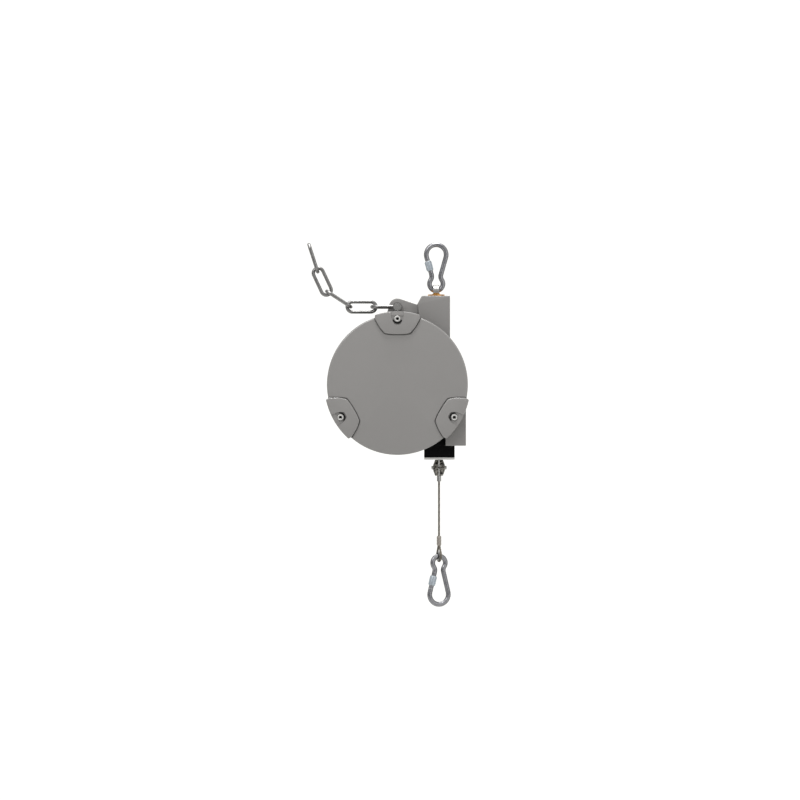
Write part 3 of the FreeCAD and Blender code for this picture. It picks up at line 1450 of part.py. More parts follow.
def make_swivel():
    centre = eye_centre()
    top = -size("column_top_drop")
    bush_top = top + size("bush_rise")
    shank = size("eye_shank_radius")
    hole_radius = size("hook_wire_radius + eye_hole_gap")
    outer = hole_radius + size("eye_wall")
    thick = size("eye_thickness")
    eye = Part.makeCylinder(outer, thick, centre - ALONG_X * thick / 2, ALONG_X)
    window = Part.makeCylinder(hole_radius, thick, centre - ALONG_X * thick / 2, ALONG_X)
    eye = eye.cut(window)
    for round_name, radius in (("eye_inner_round", hole_radius), ("eye_outer_round", outer)):
        rims = [edge for edge in eye.Edges if edge.Closed
                and abs(edge.CenterOfMass.x) > thick / 3
                and abs(edge.Curve.Radius - radius) < 0.01]
        eye = eye.makeFillet(size(round_name), rims)
    above = Part.makeBox(4 * outer, 4 * outer, 4 * outer,
                         Vector(-2 * outer, -2 * outer, bush_top + 0.3))
    eye = eye.common(above)
    nut_height = size("swivel_nut_height")
    washer = size("swivel_washer_thickness")
    foot = top - size("column_roof") - washer - nut_height - 4.4
    stem = Part.makeCylinder(shank, centre.z - 1 - foot, Vector(0, 0, foot))
    wide_window = Part.makeCylinder(hole_radius + 0.3, 4 * outer, centre - ALONG_X * 2 * outer,
                                    ALONG_X)
    body = eye.fuse(stem.cut(wide_window))
    pin_spot = Vector(0, 0, foot + 2.2)
    pin = size("swivel_pin_radius")
    reach = size("swivel_nut_radius")
    hole = Part.makeCylinder(pin + size("running_gap"), 4 * reach, pin_spot - ALONG_X * 2 * reach,
                             ALONG_X)
    keep_shape("swivel_eye", body.cut(hole).removeSplitter(), behind=False)
    keep_shape("swivel_pin", Part.makeCylinder(pin, 2 * shank + 4, pin_spot
                                               - ALONG_X * (shank + 2), ALONG_X), behind=False)
    wall = "eye_shank_radius + bush_bore_wall"
    roof = "column_top_drop + column_roof"
    keep(turned_body("swivel_bush", [
        ("eye_shank_radius + running_gap", f"-({roof}) + 0.3"),
        (wall, f"-({roof}) + 0.3"),
        (wall, "-column_top_drop"),
        ("bush_radius", "-column_top_drop"),
        ("bush_radius", "bush_rise - column_top_drop"),
        ("eye_shank_radius + running_gap", "bush_rise - column_top_drop"),
    ], axis="Z"))
    keep(turned_body("swivel_washer", ring_profile(
        "eye_shank_radius + running_gap", "swivel_washer_radius",
        f"-({roof}) - swivel_washer_thickness", f"-({roof}) - 0.1"), axis="Z"))
    nut_top = top - size("column_roof") - washer - 0.1
    nut = hexagon(reach, Vector(0, 0, nut_top - nut_height), ALONG_Z).extrude(
        ALONG_Z * nut_height)
    nut = nut.cut(Part.makeCylinder(shank + size("running_gap"), nut_height,
                                    Vector(0, 0, nut_top - nut_height)))
    keep_shape("swivel_nut", nut, behind=False)


# Safety chain: shackle, its bolt and nut, and four long links


def bolt_spot():
    return DRUM_CENTRE + ALONG_Z * size("ear_rise")


def make_shackle():
    spot = bolt_spot()
    wire, length = size("shackle_wire_radius"), size("shackle_length")
    half = size("shackle_half_width")
    bow_centre = spot - ALONG_X * (length - half)
    edges = [
        Part.makeLine(spot + ALONG_Y * half, bow_centre + ALONG_Y * half),
        Part.Arc(bow_centre + ALONG_Y * half, bow_centre - ALONG_X * half,
                 bow_centre - ALONG_Y * half).toShape(),
        Part.makeLine(bow_centre - ALONG_Y * half, spot - ALONG_Y * half),
    ]
    shackle = sweep(edges, wire)
    thick, eye = size("shackle_eye_thickness"), size("shackle_eye_radius")
    bolt = size("shackle_bolt_radius")
    for sign in (-1, 1):
        shackle = shackle.fuse(Part.makeCylinder(
            eye, thick, spot + ALONG_Y * (sign * half - thick / 2), ALONG_Y))
    hole = Part.makeCylinder(bolt + size("running_gap"), 4 * half, spot - ALONG_Y * 2 * half,
                             ALONG_Y)
    keep_shape("shackle", shackle.cut(hole).removeSplitter(), behind=False)
    head, height = size("shackle_head_radius"), size("shackle_head_height")
    face = half + thick / 2
    front = spot - ALONG_Y * (face + height)
    rod = Part.makeCylinder(bolt, 2 * face + 2 * height + 2, front, ALONG_Y)
    cap = hexagon(head, front, ALONG_Y).extrude(ALONG_Y * (height - 0.05))
    keep_shape("shackle_bolt", rod.fuse(cap).removeSplitter(), behind=False)
    nut = hexagon(head, spot + ALONG_Y * (face + 0.05), ALONG_Y).extrude(ALONG_Y * height)
    nut = nut.cut(Part.makeCylinder(bolt + size("running_gap"), 2 * height,
                                    spot + ALONG_Y * face, ALONG_Y))
    keep_shape("shackle_nut", nut, behind=False)


def make_link(name, near, angle, edge_on):
    """A long round-wire link whose near end is at a point and which lies at an angle."""
    wire = size("link_wire_radius")
    bow = size("link_inner_half_width") + wire
    straight = size("link_inner_length") - 2 * size("link_inner_half_width")
    side = bow
    start, end = Vector(bow, 0, 0), Vector(bow + straight, 0, 0)
    pieces = []
    for sign in (-1, 1):
        pieces.append(Part.makeCylinder(wire, straight, start + ALONG_Y * sign * side, ALONG_X))
    section = Part.Face(Part.Wire(Part.makeCircle(wire, start + ALONG_Y * side, ALONG_X)))
    pieces.append(section.revolve(start, ALONG_Z, 180))
    section = Part.Face(Part.Wire(Part.makeCircle(wire, end - ALONG_Y * side, ALONG_X)))
    pieces.append(section.revolve(end, ALONG_Z, 180))
    link = pieces[0].fuse(pieces[1:]).removeSplitter()
    if not edge_on:
        link.rotate(Vector(0, 0, 0), ALONG_X, 90)
    turn = Rotation(ALONG_Y, -angle)
    keep_shape(name, link, Placement(near, turn), behind=False)


def make_chain():
    """Each link's near wire centre, from the shackle's bow outwards."""
    step = size("link_wire_radius") * 2 + size("wire_gap")
    first_step = size("link_wire_radius") + size("shackle_wire_radius") + size("wire_gap")
    reach = size("link_inner_length") + 2 * size("link_wire_radius")
    angles = [size(f"link_{name}_angle") for name in ("one", "two", "three", "four")]
    bow = bolt_spot() - ALONG_X * size("shackle_length")
    headings = [Vector(math.cos(math.radians(a)), 0, math.sin(math.radians(a))) for a in angles]
    pivots = [bow]
    near = bow - headings[0] * first_step
    make_link("chain_link_one", near, angles[0], False)
    far = near + headings[0] * reach
    for index, name in enumerate(("two", "three", "four"), start=1):
        along = headings[index] if index % 2 else headings[index - 1]
        if index % 2:
            # an edge-on link hooks into the bow of the flat one before it
            near = far - headings[index - 1] * step
            pivots.append(near)
        else:
            # a flat link hooks round the end wire of the edge-on one before it
            pivots.append(far)
            near = far - headings[index] * step
        make_link("chain_link_" + name, near, angles[index], bool(index % 2))
        far = near + headings[index] * reach
    pivots.append(far)
    for spot in pivots:
        print("chain pivot", spot)


make_housing()
make_front_cover()
make_cover_screws()
make_rear_cover()
make_rear_screws()
make_drum_side()
make_bearing("front_bearing", "1 - cover_inner")
make_bearing("rear_bearing", "barrel_back + 1")
make_spring_side()
make_worm()
make_worm_bushes()
make_lock()
make_guide()
make_guide_screws()
make_rope()
make_rope_stop()
make_loop()
make_hooks()
make_swivel()
make_shackle()
make_chain()

doc.recompute()
for item in doc.Objects:
    if "Invalid" in item.State or "Error" in item.State:
        raise RuntimeError(f"{item.Label} isn't up to date: {item.State}")
for part in SUB_PARTS:
    if part.Shape.isNull() or not part.Shape.isValid():
        raise RuntimeError(f"{part.Label} has no valid shape")
for part in SUB_PARTS:
    part.Shape.exportStep(f"parts/{part.Label}.step")
print(len(SUB_PARTS), "sub-parts written")
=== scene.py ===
"""Looks of a spring tool balancer that hangs from a snap hook and carries a tool on a wire rope."""

from __future__ import annotations

import json
import logging
import math
from dataclasses import dataclass, field
from enum import Enum
from functools import cache
from typing import Callable

import bmesh
import bpy
from mathutils import Matrix, Vector

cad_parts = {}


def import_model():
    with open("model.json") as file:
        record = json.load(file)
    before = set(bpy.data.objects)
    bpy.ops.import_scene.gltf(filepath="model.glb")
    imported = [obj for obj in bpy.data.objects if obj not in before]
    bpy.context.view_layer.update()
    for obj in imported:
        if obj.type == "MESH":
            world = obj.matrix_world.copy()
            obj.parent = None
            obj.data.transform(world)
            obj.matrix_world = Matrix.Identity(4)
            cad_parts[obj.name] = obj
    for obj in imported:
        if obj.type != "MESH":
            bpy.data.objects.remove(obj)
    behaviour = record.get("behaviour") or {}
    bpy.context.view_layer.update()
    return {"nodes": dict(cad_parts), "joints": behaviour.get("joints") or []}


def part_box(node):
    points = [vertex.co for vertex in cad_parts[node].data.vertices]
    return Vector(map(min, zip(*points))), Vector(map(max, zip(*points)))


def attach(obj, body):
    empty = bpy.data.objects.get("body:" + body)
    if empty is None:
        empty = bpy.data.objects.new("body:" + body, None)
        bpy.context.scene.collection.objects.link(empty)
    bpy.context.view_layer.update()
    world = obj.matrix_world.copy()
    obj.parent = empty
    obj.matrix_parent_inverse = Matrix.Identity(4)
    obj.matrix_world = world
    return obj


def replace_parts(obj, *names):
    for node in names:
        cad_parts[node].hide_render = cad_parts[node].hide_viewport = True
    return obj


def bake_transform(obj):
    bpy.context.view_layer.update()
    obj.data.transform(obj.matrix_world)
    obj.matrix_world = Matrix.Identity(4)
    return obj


LOG = logging.getLogger("balancer")
MM = 0.001
TURN = 2 * math.pi
DRUM_AXIS = Vector((-54.6, 8.0, -193.2))
ROPE_SIDE = 4.0
ROPE_DEPTH = 8.0
WHITE = (1.0, 1.0, 1.0, 1.0)
COVER_SCREW_CIRCLE = 91.7
REAR_SCREW_CIRCLE = 73.5
BORE_RADIUS = 66.0
SHARP_ANGLE = math.radians(32.0)


def linear(hex_colour: str) -> tuple[float, float, float, float]:
    """Turn an sRGB hex colour into linear light.

    Args:
        hex_colour: Six hex digits after a hash.

    Returns:
        Linear red, green and blue, with an alpha of 1.
    """
    channels = []
    for start in (1, 3, 5):
        value = int(hex_colour[start:start + 2], 16) / 255
        channels.append(value / 12.92 if value <= 0.04045 else ((value + 0.055) / 1.055) ** 2.4)
    return (channels[0], channels[1], channels[2], 1.0)


def add_node(tree: bpy.types.NodeTree, kind: str, inputs: dict | None = None,
             **settings: object) -> bpy.types.Node:
    """Add one node with its settings, its values and its links.

    Args:
        tree: The node tree that gets the node.
        kind: Blender's name of the node type.
        inputs: Socket name or number against a value, the socket that feeds it, or the node
            whose first output feeds it.
        settings: The node's own properties.

    Returns:
        The new node.
    """
    node = tree.nodes.new(kind)
    for name, value in settings.items():
        setattr(node, name, value)
    for name, value in (inputs or {}).items():
        if isinstance(value, bpy.types.Node):
            value = value.outputs[0]
        if isinstance(value, bpy.types.NodeSocket):
            tree.links.new(value, node.inputs[name])
        else:
            node.inputs[name].default_value = value
    return node


class Pattern(Enum):
    """How a surface's fine marks lie."""

    EVEN = "the same every way, as on a cast or painted skin"
    DRAWN = "long fine lines round the part, as from turning or drawing"
    GROUND = "crossed scratches, as on a part that has rubbed in use"


@dataclass(frozen=True)
class Finish:
    """One surface: what it is made of and how it was made.

    Attributes:
        name: The common name of the stuff and its making.
        colour: Main colour as sRGB hex.
        second: Colour of the patches, as sRGB hex.
        metallic: 1 for bare metal, 0 for paint and plastic.
        roughness: Middle roughness.
        spread: How far the roughness wanders.
        patch_mm: Size of the colour patches.
        grain_mm: Size of the fine marks.
        bump_mm: Height of the fine marks.
        coat: Weight of a clear coat.
        blend: How softly the patches change; 0.5 is softest and less is harder.
        gloss: Specular level; 0.5 is usual and less is duller.
        pattern: How the fine marks lie.
    """

    name: str
    colour: str
    second: str
    metallic: float
    roughness: float
    spread: float
    patch_mm: float
    grain_mm: float
    bump_mm: float
    coat: float = 0.0
    blend: float = 0.5
    gloss: float = 0.5
    pattern: Pattern = Pattern.EVEN

    def material(self) -> bpy.types.Material:
        """Build the material once and hand it out again after that.

        Returns:
            The material of this finish.
        """
        made = bpy.data.materials.get(self.name)
        if made:
            return made
        material = bpy.data.materials.new(self.name)
        material.use_nodes = True
        tree = material.node_tree
        tree.nodes.clear()
        place = add_node(tree, "ShaderNodeTexCoord").outputs["Object"]
        patches = add_node(tree, "ShaderNodeTexNoise", {
            "Vector": place, "Scale": 1 / (self.patch_mm * MM), "Detail": 3.0, "Roughness": 0.55})
        share = add_node(tree, "ShaderNodeMapRange", {
            "Value": patches, "From Min": 0.5 - self.blend, "From Max": 0.5 + self.blend})
        stretch = (1.0, 1.0, 1.0)
        if self.pattern is Pattern.DRAWN:
            stretch = (1.0, 1.0, 9.0)
        if self.pattern is Pattern.GROUND:
            stretch = (6.0, 1.0, 2.0)
        marks_place = add_node(tree, "ShaderNodeMapping", {"Vector": place, "Scale": stretch})
        marks = add_node(tree, "ShaderNodeTexNoise", {
            "Vector": marks_place, "Scale": 1 / (self.grain_mm * MM),
            "Detail": 2.0, "Roughness": 0.6})
        colour = add_node(tree, "ShaderNodeMix", {
            "Factor": share, "A": linear(self.colour), "B": linear(self.second)}, data_type="RGBA")
        rough = add_node(tree, "ShaderNodeMapRange", {
            "Value": marks, "From Min": 0.3, "From Max": 0.7,
            "To Min": self.roughness - self.spread, "To Max": self.roughness + self.spread})
        bump = add_node(tree, "ShaderNodeBump", {
            "Height": marks, "Strength": 0.6, "Distance": self.bump_mm * MM})
        shader = add_node(tree, "ShaderNodeBsdfPrincipled", {
            "Base Color": colour.outputs[2], "Metallic": self.metallic,
            "Roughness": rough, "Normal": bump})
        shader.inputs["Specular IOR Level"].default_value = self.gloss
        if self.coat:
            shader.inputs["Coat Weight"].default_value = self.coat
            shader.inputs["Coat Roughness"].default_value = 0.14
        add_node(tree, "ShaderNodeOutputMaterial", {"Surface": shader})
        return material


# the housing's grey powder coat: satin, with the fine orange peel of sprayed powder
POWDER_COAT = Finish("grey powder coat on cast aluminium", "#8b8987", "#858381", 0.0, 0.42, 0.06,
                     60.0, 1.6, 0.05, 0.35)
# the sheet cover is smoother than the castings and has a faint cloudiness
COVER_COAT = Finish("grey powder coat on spun sheet", "#8d8b89", "#888684", 0.0, 0.36, 0.04,
                    90.0, 2.2, 0.025, 0.6)
# zinc plated wire: cloudy blue grey, softly shining
ZINC_WIRE = Finish("zinc plated steel wire", "#959597", "#6a6a6e", 1.0, 0.27, 0.08, 6.0, 1.2, 0.03,
                   blend=0.34)
# the cover screws: machined steel with a painted sheen; pale and half matte, they stand out pale
# against the grey as where they catch the light
SCREW_STEEL_AND_SHEEN = Finish("machined screw with painted sheen", "#cfcecb", "#b9b8b5", 0.6, 0.42, 0.05, 3.0, 1.0, 0.02)
# screw sleeves: pale passivated zinc with fine knurls
PALE_ZINC = Finish("pale passivated zinc", "#b9c0c6", "#9fa7ae", 1.0, 0.42, 0.08, 3.0, 0.8, 0.04)
# turned stainless parts show fine tool lines
TURNED_STEEL = Finish("turned stainless steel", "#a9a8a6", "#8f8e8c", 1.0, 0.28, 0.08, 5.0, 1.0,
                      0.03, pattern=Pattern.DRAWN)
# chain wire, bright with rubbed spots
CHAIN_WIRE = Finish("tumbled stainless chain wire", "#949392", "#6b6a69", 1.0, 0.27, 0.08, 5.0,
                    1.4, 0.04, blend=0.34, pattern=Pattern.GROUND)
# dull brownish zinc, with dark patches scattered at random as painted shade for the grooves between
# the wires
ROPE_WIRE_AND_SHADE = Finish("galvanised rope wire with painted shade", "#8d877e", "#57524b", 1.0, 0.38, 0.08, 1.2, 0.5, 0.02,
                   blend=0.25)
# pressed aluminium keeps the dull marks of the crimping tool
CRIMPED = Finish("pressed aluminium ferrule", "#a8a29b", "#8f8983", 1.0, 0.48, 0.08, 2.0, 1.0, 0.05)
# the rope stop: blackened malleable iron, with sharp bright spots at random that are painted glints
BLACK_IRON_AND_GLINTS = Finish("blackened malleable iron with painted glints", "#121211", "#85827c", 0.85, 0.42, 0.12, 2.6, 1.0,
                    0.12, blend=0.09, pattern=Pattern.GROUND)
# painted shade: dark sheets stand for the shade in the hollow beside each cover screw and down in
# each screw's socket
PAINTED_HOLLOW_SHADE = Finish("painted shade of a hollow", "#101010", "#141414", 0.0, 0.8, 0.05, 20.0, 1.5,
                      0.01, gloss=0.1)
# moulded plastic as black as in the photograph, with hardly a shine
GUIDE_PLASTIC = Finish("black acetal", "#030303", "#060606", 0.0, 0.6, 0.05, 20.0, 1.5, 0.02,
                       gloss=0.08)
# machined sheet, the palest spot of the part
WEAR_PLASTIC = Finish("white polyethylene", "#ecebe7", "#e2e1dd", 0.0, 0.45, 0.05, 12.0, 1.5, 0.02)
# the orange ring under the upper hook
BRASS = Finish("turned brass", "#c8914a", "#b47f3c", 1.0, 0.30, 0.07, 4.0, 0.9, 0.02,
               pattern=Pattern.DRAWN)
# rolled strip with the blue of its tempering
SPRING_STEEL = Finish("blue spring strip", "#4c525c", "#5d5a55", 1.0, 0.35, 0.08, 12.0, 1.0, 0.02)
# cast teeth, dull and brown
BRONZE = Finish("cast bronze", "#a5793f", "#8a6233", 1.0, 0.38, 0.08, 8.0, 1.2, 0.04)
# unpainted castings inside: pale and grainy
RAW_CASTING = Finish("raw die cast aluminium", "#b4b3b0", "#a3a29f", 1.0, 0.50, 0.08, 10.0, 1.4,
                     0.05)
# ground shafts and rings: even and bright
PLAIN_STEEL = Finish("ground bearing steel", "#a7a6a5", "#9a9998", 1.0, 0.22, 0.05, 6.0, 0.8, 0.01)
# satin knob
KNOB_PLASTIC = Finish("black moulded nylon", "#17171a", "#1d1d20", 0.0, 0.5, 0.06, 6.0, 1.0, 0.04)

DRESSING: dict[Finish, tuple[str, ...]] = {
    POWDER_COAT: ("housing", "rear_cover"),
    COVER_COAT: ("front_cover",),
    ZINC_WIRE: ("upper_hook", "upper_gate", "upper_gate_pin", "lower_hook", "lower_gate",
                "lower_gate_pin"),
    PALE_ZINC: ("upper_gate_sleeve", "lower_gate_sleeve"),
    TURNED_STEEL: ("swivel_eye", "swivel_nut", "swivel_washer", "swivel_pin", "cover_screws",
                   "rear_cover_screws", "rope_stop_sleeve", "rope_stop_screws", "thimble",
                   "guide_screws", "lock_bolt", "shackle_bolt", "shackle_nut"),
    CHAIN_WIRE: ("shackle", "chain_link_one", "chain_link_two", "chain_link_three",
                 "chain_link_four"),
    ROPE_WIRE_AND_SHADE: ("drawn_rope", "hanging_rope", "rope_loop", "wound_rope"),
    CRIMPED: ("rope_ferrule",),
    BLACK_IRON_AND_GLINTS: ("rope_stop_left", "rope_stop_right"),
    GUIDE_PLASTIC: ("rope_guide",),
    WEAR_PLASTIC: ("wear_plate",),
    BRASS: ("swivel_bush", "worm_bushes"),
    SPRING_STEEL: ("mainspring",),
    BRONZE: ("worm_wheel",),
    RAW_CASTING: ("rope_drum", "spring_case", "spring_case_lid", "spring_arbor"),
    PLAIN_STEEL: ("drum_shaft", "shaft_key", "worm_shaft", "front_bearing_outer_ring",
                  "front_bearing_balls", "front_bearing_inner_ring", "rear_bearing_outer_ring",
                  "rear_bearing_balls", "rear_bearing_inner_ring"),
    KNOB_PLASTIC: ("lock_knob",),
}


def rounded(corners: list[tuple[float, float, float]], steps: int = 6) -> list[tuple[float, float]]:
    """Round the corners of a closed outline.

    Args:
        corners: Points with the radius of each corner.
        steps: Short runs for each round.

    Returns:
        The points of the rounded outline.
    """
    least_turn = 0.02
    most_of_side = 0.48
    outline: list[tuple[float, float]] = []
    count = len(corners)
    for index, (x, y, radius) in enumerate(corners):
        here = Vector((x, y))
        back = Vector(corners[index - 1][:2]) - here
        ahead = Vector(corners[(index + 1) % count][:2]) - here
        turn = math.pi - back.angle(ahead)
        if radius <= 0 or turn < least_turn:
            outline.append((x, y))
            continue
        run = min(radius * math.tan(turn / 2), most_of_side * back.length,
                  most_of_side * ahead.length)
        radius = run / math.tan(turn / 2)
        start = here + back.normalized() * run
        middle = (back.normalized() + ahead.normalized()).normalized()
        centre = here + middle * (radius / math.cos(turn / 2))
        arm = start - centre
        sign = 1 if back.x * ahead.y - back.y * ahead.x < 0 else -1
        for step in range(steps + 1):
            angle = sign * turn * step / steps
            outline.append((centre.x + arm.x * math.cos(angle) - arm.y * math.sin(angle),
                            centre.y + arm.x * math.sin(angle) + arm.y * math.cos(angle)))
    return outline


def arc(centre: tuple[float, float], radius: float, first: float, last: float,
        steps: int) -> list[tuple[float, float, float]]:
    """Corners along an arc, for an outline that rounded() takes.

    Args:
        centre: Centre of the arc.
        radius: Its radius.
        first: Angle of its start in degrees.
        last: Angle of its end in degrees.
        steps: Short runs along it.

    Returns:
        Points with a corner radius of 0.
    """
    angles = [math.radians(first + (last - first) * step / steps) for step in range(steps + 1)]
    return [(centre[0] + radius * math.cos(a), centre[1] + radius * math.sin(a), 0.0)
            for a in angles]


def circle(centre: tuple[float, float], radius: float, height: float, steps: int) -> list[Vector]:
    """Points round an upright axis at an X and Y, at a height of Z."""
    return [Vector((centre[0] + radius * math.cos(TURN * s / steps),
                    centre[1] + radius * math.sin(TURN * s / steps), height))
            for s in range(steps)]


def on_rope(height: float) -> Vector:
    """The point of the rope's middle line at a height of Z."""
    return Vector((ROPE_SIDE, ROPE_DEPTH, height))


def about_drum(degrees: float) -> Matrix:
    """Turn in degrees and shift to the drum's axis, for a form drawn about the Y axis."""
    return Matrix.Translation(DRUM_AXIS) @ Matrix.Rotation(math.radians(degrees), 4, "Y")


def placed(name: str, data: bpy.types.ID) -> bpy.types.Object:
    """Make an object and link it to the scene.

    Args:
        name: Name of the object.
        data: Its mesh, curve, camera or lamp.

    Returns:
        The new object.
    """
    piece = bpy.data.objects.new(name, data)
    bpy.context.scene.collection.objects.link(piece)
    return piece


def evaluated(piece: bpy.types.Object) -> bpy.types.Mesh:
    """The plain mesh of an object after its modifiers."""
    return bpy.data.meshes.new_from_object(
        piece.evaluated_get(bpy.context.evaluated_depsgraph_get()))


@dataclass
class Form:
    """Mesh data in millimetres, built up from turned, lofted and extruded shapes."""

    points: list[Vector] = field(default_factory=list)
    faces: list[tuple[int, ...]] = field(default_factory=list)

    def loft(self, rings: list[list[Vector]], closed: bool = False) -> None:
        """Join rings of equal length into a skin.

        Args:
            rings: Rings of points; a ring of one point is a pole.
            closed: Whether the last ring joins the first; if not, the ends are capped.
        """
        starts = []
        for ring in rings:
            starts.append(len(self.points))
            self.points.extend(ring)
        pairs = list(zip(range(len(rings) - 1), range(1, len(rings))))
        if closed:
            pairs.append((len(rings) - 1, 0))
        for low, high in pairs:
            count = max(len(rings[low]), len(rings[high]))
            for step in range(count):
                after = (step + 1) % count
                corners = [starts[low] + step % len(rings[low]),
                           starts[low] + after % len(rings[low]),
                           starts[high] + after % len(rings[high]),
                           starts[high] + step % len(rings[high])]
                self.faces.append(tuple(dict.fromkeys(corners)))
        if not closed:
            for end in (0, len(rings) - 1):
                if len(rings[end]) > 2:
                    self.faces.append(tuple(range(starts[end], starts[end] + len(rings[end]))))

    def turned(self, profile: list[tuple[float, float]], steps: int = 144,
               centre: Vector = DRUM_AXIS) -> None:
        """Turn a closed profile of radius and depth about the drum's axis.

        Args:
            profile: Radius and Y of each point; it may start and end on the axis.
            steps: Runs round the axis.
            centre: A point on the axis.
        """
        rings = []
        for radius, depth in profile:
            if radius < 1e-6:
                rings.append([centre + Vector((0, depth, 0))])
            else:
                rings.append([centre + Vector((radius * math.cos(TURN * s / steps), depth,
                                               radius * math.sin(TURN * s / steps)))
                              for s in range(steps)])
        self.loft(rings, closed=len(rings[0]) > 1)

    def slab(self, outline: list[tuple[float, float]], front: float, back: float,
             edge: float = 1.2, centre: Vector = Vector((0, 0, 0)), edge_back: float = 0.6) -> None:
        """Extrude an outline of X and Z along Y, with rounded front and back edges.

        Args:
            outline: Points round the slab.
            front: Y of the front face.
            back: Y of the back face.
            edge: Radius of the front edge.
            centre: Place of the outline's origin.
            edge_back: Radius of the back edge.
        """
        sharpest = 0.35
        count = len(outline)
        area = sum(outline[i - 1][0] * outline[i][1] - outline[i][0] * outline[i - 1][1]
                   for i in range(count))
        sign = 1 if area > 0 else -1
        inward = []
        for i in range(count):
            before = (Vector(outline[i]) - Vector(outline[i - 1])).normalized()
            after = (Vector(outline[(i + 1) % count]) - Vector(outline[i])).normalized()
            normal = Vector((-before.y - after.y, before.x + after.x)) * sign
            half = max(sharpest, normal.length / 2)
            inward.append(normal.normalized() / half if normal.length > 1e-6 else normal)
        rings = []
        for depth, radius, way in ((front, edge, 1), (back, edge_back, -1)):
            marks = [(radius * (1 - math.sin(a)), radius * (1 - math.cos(a)))
                     for a in (0.0, math.pi / 8, math.pi / 4, 3 * math.pi / 8, math.pi / 2)]
            if way < 0:
                marks.reverse()
            for inset, drop in marks:
                rings.append([centre + Vector((outline[i][0] + inward[i].x * inset,
                                               depth + way * drop,
                                               outline[i][1] + inward[i].y * inset))
                              for i in range(count)])
        self.loft(rings)

    def add(self, other: Form, place: Matrix) -> None:
        """Add a copy of another form.

        Args:
            other: The form that is copied.
            place: Where the copy goes, in millimetres.
        """
        start = len(self.points)
        self.points.extend(place @ p for p in other.points)
        self.faces.extend(tuple(i + start for i in face) for face in other.faces)

    def mesh(self, name: str, finish: Finish, place: Matrix | None = None) -> bpy.types.Object:
        """Make the object, smooth but for its sharp edges, with its place in its mesh.

        Args:
            name: Name of the piece.
            finish: Its surface.
            place: Where the form goes, in millimetres.

        Returns:
            The new object.
        """
        data = bpy.data.meshes.new(name)
        build = bmesh.new()
        corners = [build.verts.new((place @ p if place else p) * MM) for p in self.points]
        for face in self.faces:
            build.faces.new([corners[i] for i in face])
        bmesh.ops.remove_doubles(build, verts=build.verts, dist=1e-7)
        bmesh.ops.recalc_face_normals(build, faces=build.faces)
        build.to_mesh(data)
        build.free()
        return finished(name, data, finish)


def finished(name: str, data: bpy.types.Mesh, finish: Finish) -> bpy.types.Object:
    """Link a mesh as a smooth-shaded object with one finish.

    Args:
        name: Name of the piece.
        data: Its mesh.
        finish: Its surface.

    Returns:
        The new object.
    """
    data.shade_smooth()
    data.set_sharp_from_angle(angle=SHARP_ANGLE)
    data.materials.clear()
    data.materials.append(finish.material())
    return placed(name, data)


def carved(piece: bpy.types.Object, cutter: Form, finish: Finish) -> bpy.types.Object:
    """Cut a form out of a piece.

    Args:
        piece: The piece; it is replaced by the cut one.
        cutter: What is taken away, in millimetres.
        finish: The surface of the result.

    Returns:
        The cut piece.
    """
    name = piece.name
    tool = cutter.mesh("cutter", finish)
    cut = piece.modifiers.new("cut", "BOOLEAN")
    cut.object = tool
    cut.operation = "DIFFERENCE"
    cut.solver = "EXACT"
    data = evaluated(piece)
    piece.name = "before_cut"
    for used in (piece, tool):
        bpy.data.objects.remove(used)
    return finished(name, data, finish)


def joined(name: str, parts: list[bpy.types.Object], finish: Finish) -> bpy.types.Object:
    """Join meshes into one piece.

    Args:
        name: Name of the piece.
        parts: Objects whose meshes are taken; they are removed.
        finish: The surface of the result.

    Returns:
        The joined piece.
    """
    build = bmesh.new()
    for part in parts:
        build.from_mesh(part.data)
        bpy.data.objects.remove(part)
    data = bpy.data.meshes.new(name)
    build.to_mesh(data)
    build.free()
    return finished(name, data, finish)


def new_tree(name: str, sockets: dict[str, str]) -> bpy.types.NodeTree:
    """Start a Geometry Nodes tree with named inputs.

    Args:
        name: Name of the tree.
        sockets: Input name against socket type, after the geometry.

    Returns:
        The tree, with its sockets and no nodes yet.
    """
    tree = bpy.data.node_groups.new(name, "GeometryNodeTree")
    tree.interface.new_socket("Geometry", in_out="INPUT", socket_type="NodeSocketGeometry")
    for label, kind in sockets.items():
        tree.interface.new_socket(label, in_out="INPUT", socket_type=kind)
    tree.interface.new_socket("Geometry", in_out="OUTPUT", socket_type="NodeSocketGeometry")
    return tree


def end_tree(tree: bpy.types.NodeTree, geometry: bpy.types.NodeSocket,
             material: bpy.types.NodeSocket) -> None:
    """End a tree in Realize Instances and Set Material.

    Args:
        tree: The tree.
        geometry: What it has made.
        material: The material it is given.
    """
    real = add_node(tree, "GeometryNodeRealizeInstances", {"Geometry": geometry})
    dressed = add_node(tree, "GeometryNodeSetMaterial", {"Geometry": real, "Material": material})
    add_node(tree, "NodeGroupOutput", {"Geometry": dressed})


@cache
def swept_wire() -> bpy.types.NodeTree:
    """Tree that sweeps a round wire along every spline of a curve.

    Returns:
        The tree, with the inputs Wire Radius, Sides and Material.
    """
    tree = new_tree("SweptWire", {"Wire Radius": "NodeSocketFloat", "Sides": "NodeSocketInt",
                                  "Material": "NodeSocketMaterial"})
    given = add_node(tree, "NodeGroupInput")
    ring = add_node(tree, "GeometryNodeCurvePrimitiveCircle", {
        "Resolution": given.outputs["Sides"], "Radius": given.outputs["Wire Radius"]})
    wire = add_node(tree, "GeometryNodeCurveToMesh", {
        "Curve": given.outputs["Geometry"], "Profile Curve": ring, "Fill Caps": True})
    end_tree(tree, wire.outputs["Mesh"], given.outputs["Material"])
    return tree


